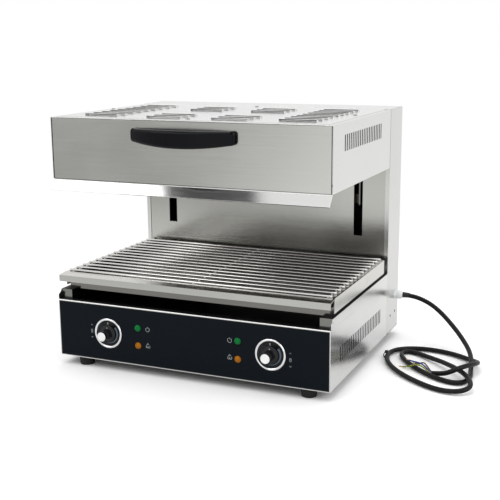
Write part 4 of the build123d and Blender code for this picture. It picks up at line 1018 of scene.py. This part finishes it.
def makeGrid():
    # rods across, three runners below them and a weld bead where they meet
    half, runners, pitch = gridFacts["half"], gridFacts["runners"], gridFacts["pitch"]
    rod = roundRod("rod", gridFacts["radius"], -half, half, (0, gridFacts["first"], gridFacts["height"]), "X")
    parts = [rod] + [copied(rod, "rod", (0, pitch * i, 0)) for i in range(1, gridFacts["rods"])]
    runner = roundRod("runner", gridFacts["runnerRadius"], gridFacts["from"], gridFacts["to"],
                      (runners[0], 0, gridFacts["runnerHeight"]), "Y")
    parts += [runner] + [copied(runner, "runner", (x - runners[0], 0, 0)) for x in runners[1:]]
    clearSelection()
    bpy.ops.mesh.primitive_ico_sphere_add(subdivisions=2, radius=1.0 * mm, location=(0, 0, 0))
    bead = bpy.context.object
    bpy.ops.transform.resize(value=gridFacts["bead"])
    moved(bead, (runners[0], gridFacts["first"], gridFacts["beadHeight"]))
    parts += [copied(bead, "bead", (x - runners[0], pitch * i, 0))
              for i in range(gridFacts["rods"]) for x in runners]
    bpy.data.objects.remove(bead)
    return settle(joined(parts, "grillGrid"), "wire_grid", gridWire, ["wire_grid"])


makeGrid()
print("feet and grid made")


# floor, light and background

studio = {
    "floor": 40.0, "floorTone": 0.9, "floorShown": 1.18, "whiteFrom": 0.85, "whiteTo": 1.5,
    "world": 0.62, "worldGloss": 0.75, "aim": (0, 0, 0.25),
    "card": {"dark": 0.4, "light": 0.97, "warm": (0.97, 0.985), "lightSide": 0.2, "darkSide": 0.47,
             "lightNear": -1.6, "lightFar": -0.7, "share": 0.85, "from": 0.4, "to": 0.9},
    "lipCard": {"centre": (-0.61, -0.55, 1.68), "wide": 0.37, "tall": 0.9, "tone": 0.06, "turn": 4},
    "lamps": [("keyLamp", (-1.6, -2.2, 2.6), 2.4, 34), ("sideLamp", (2.6, -0.6, 1.6), 2.0, 26),
              ("topLamp", (0.1, 0.2, 2.8), 2.2, 22)],
}


def glow(tree, kind, strength=1.0):
    light = addNode(tree, kind, Strength=strength)
    light.inputs["Color"].default_value = (1, 1, 1, 1)
    return light.outputs[0]


def mixShaders(tree, factor, first, second):
    mixer = tree.nodes.new("ShaderNodeMixShader")
    for place, socket in enumerate((factor, first, second)):
        wire(tree, socket, mixer.inputs[place])
    return mixer.outputs[0]


def makeFloor():
    clearSelection()
    bpy.ops.mesh.primitive_plane_add(size=studio["floor"], location=(0, 0, 0))
    floor = bpy.context.object
    floor.name = "floor"
    material, tree, shader, coords = newFinish("paleFloor", 0.0, 0.9, 0.1)
    shader.inputs["Base Color"].default_value = (*[studio["floorTone"]] * 3, 1)
    rays = tree.nodes.new("ShaderNodeLightPath")
    seen, glossy = rays.outputs["Is Camera Ray"], rays.outputs["Is Glossy Ray"]
    place = tree.nodes.new("ShaderNodeSeparateXYZ")
    wire(tree, coords, place.inputs[0])
    distance = tree.nodes.new("ShaderNodeVectorMath")
    distance.operation = "LENGTH"
    wire(tree, coords, distance.inputs[0])
    away = distance.outputs["Value"]

    # the camera sees the lit floor white with the whole shadow on it, and plain white farther off
    shown = addNode(tree, "BsdfDiffuse")
    shown.inputs["Color"].default_value = (*[studio["floorShown"]] * 3, 1)
    lifted = mixShaders(tree, seen, shader.outputs[0], shown.outputs[0])
    farOff = spread(tree, away, 0.0, 1.0, studio["whiteFrom"], studio["whiteTo"])
    plain = mixShaders(tree, calc(tree, "MULTIPLY", seen, farOff), lifted, glow(tree, "Emission"))

    # polished steel sees a grey card at the front left instead, which shades the hood's front
    facts = studio["card"]
    dark, light, (darkWarm, lightWarm) = facts["dark"], facts["light"], facts["warm"]
    slope = calc(tree, "DIVIDE", place.outputs[0], place.outputs[1])
    sideways = spread(tree, slope, 1.0, 0.0, facts["lightSide"], facts["darkSide"])
    frontal = spread(tree, place.outputs[1], 0.0, 1.0, facts["lightNear"], facts["lightFar"])
    card = addNode(tree, "Emission", Strength=1.0)
    wire(tree, blendColours(tree, calc(tree, "MAXIMUM", sideways, frontal), (dark, dark, dark * darkWarm),
                            (light, light, light * lightWarm)), card.inputs["Color"])
    outside = spread(tree, away, 0.0, facts["share"], facts["from"], facts["to"])
    whole = mixShaders(tree, calc(tree, "MULTIPLY", glossy, outside), plain, card.outputs[0])
    wire(tree, whole, tree.nodes["Material Output"].inputs[0])
    floor.data.materials.append(material)


def makeWorld():
    world = bpy.context.scene.world or bpy.data.worlds.new("studio")
    bpy.context.scene.world = world
    world.use_nodes = True
    air = world.node_tree
    for node in list(air.nodes):
        air.nodes.remove(node)
    end = air.nodes.new("ShaderNodeOutputWorld")
    rays = air.nodes.new("ShaderNodeLightPath")
    white = calc(air, "MAXIMUM", rays.outputs["Is Camera Ray"],
                 calc(air, "MULTIPLY", rays.outputs["Is Glossy Ray"], studio["worldGloss"]))
    soft, bright = glow(air, "Background", studio["world"]), glow(air, "Background")
    wire(air, mixShaders(air, white, soft, bright), end.inputs[0])


def makeLipCard():
    # a dark card over the front that only the polished lip shows
    facts = studio["lipCard"]
    clearSelection()
    bpy.ops.mesh.primitive_plane_add(size=1, location=facts["centre"])
    card = bpy.context.object
    card.name = "darkCard"
    card.scale = (facts["wide"], facts["tall"], 1)
    card.rotation_euler = (0, 0, math.radians(facts["turn"]))
    for view in ("camera", "diffuse", "shadow", "transmission"):
        setattr(card, "visible_" + view, False)
    cloth, tree, shader, coords = newFinish("blackCard", 0.0, 0.9, 0.1)
    shader.inputs["Base Color"].default_value = (*[facts["tone"]] * 3, 1)
    card.data.materials.append(cloth)


makeFloor()
makeWorld()
makeLipCard()
for name, place, size, power in studio["lamps"]:
    clearSelection()
    bpy.ops.object.light_add(type="AREA", location=place)
    lamp = bpy.context.object
    lamp.name = name
    lamp.data.size = size
    lamp.data.energy = power
    lamp.rotation_euler = (Vector(studio["aim"]) - Vector(place)).to_track_quat("-Z", "Y").to_euler()
print("studio lit")
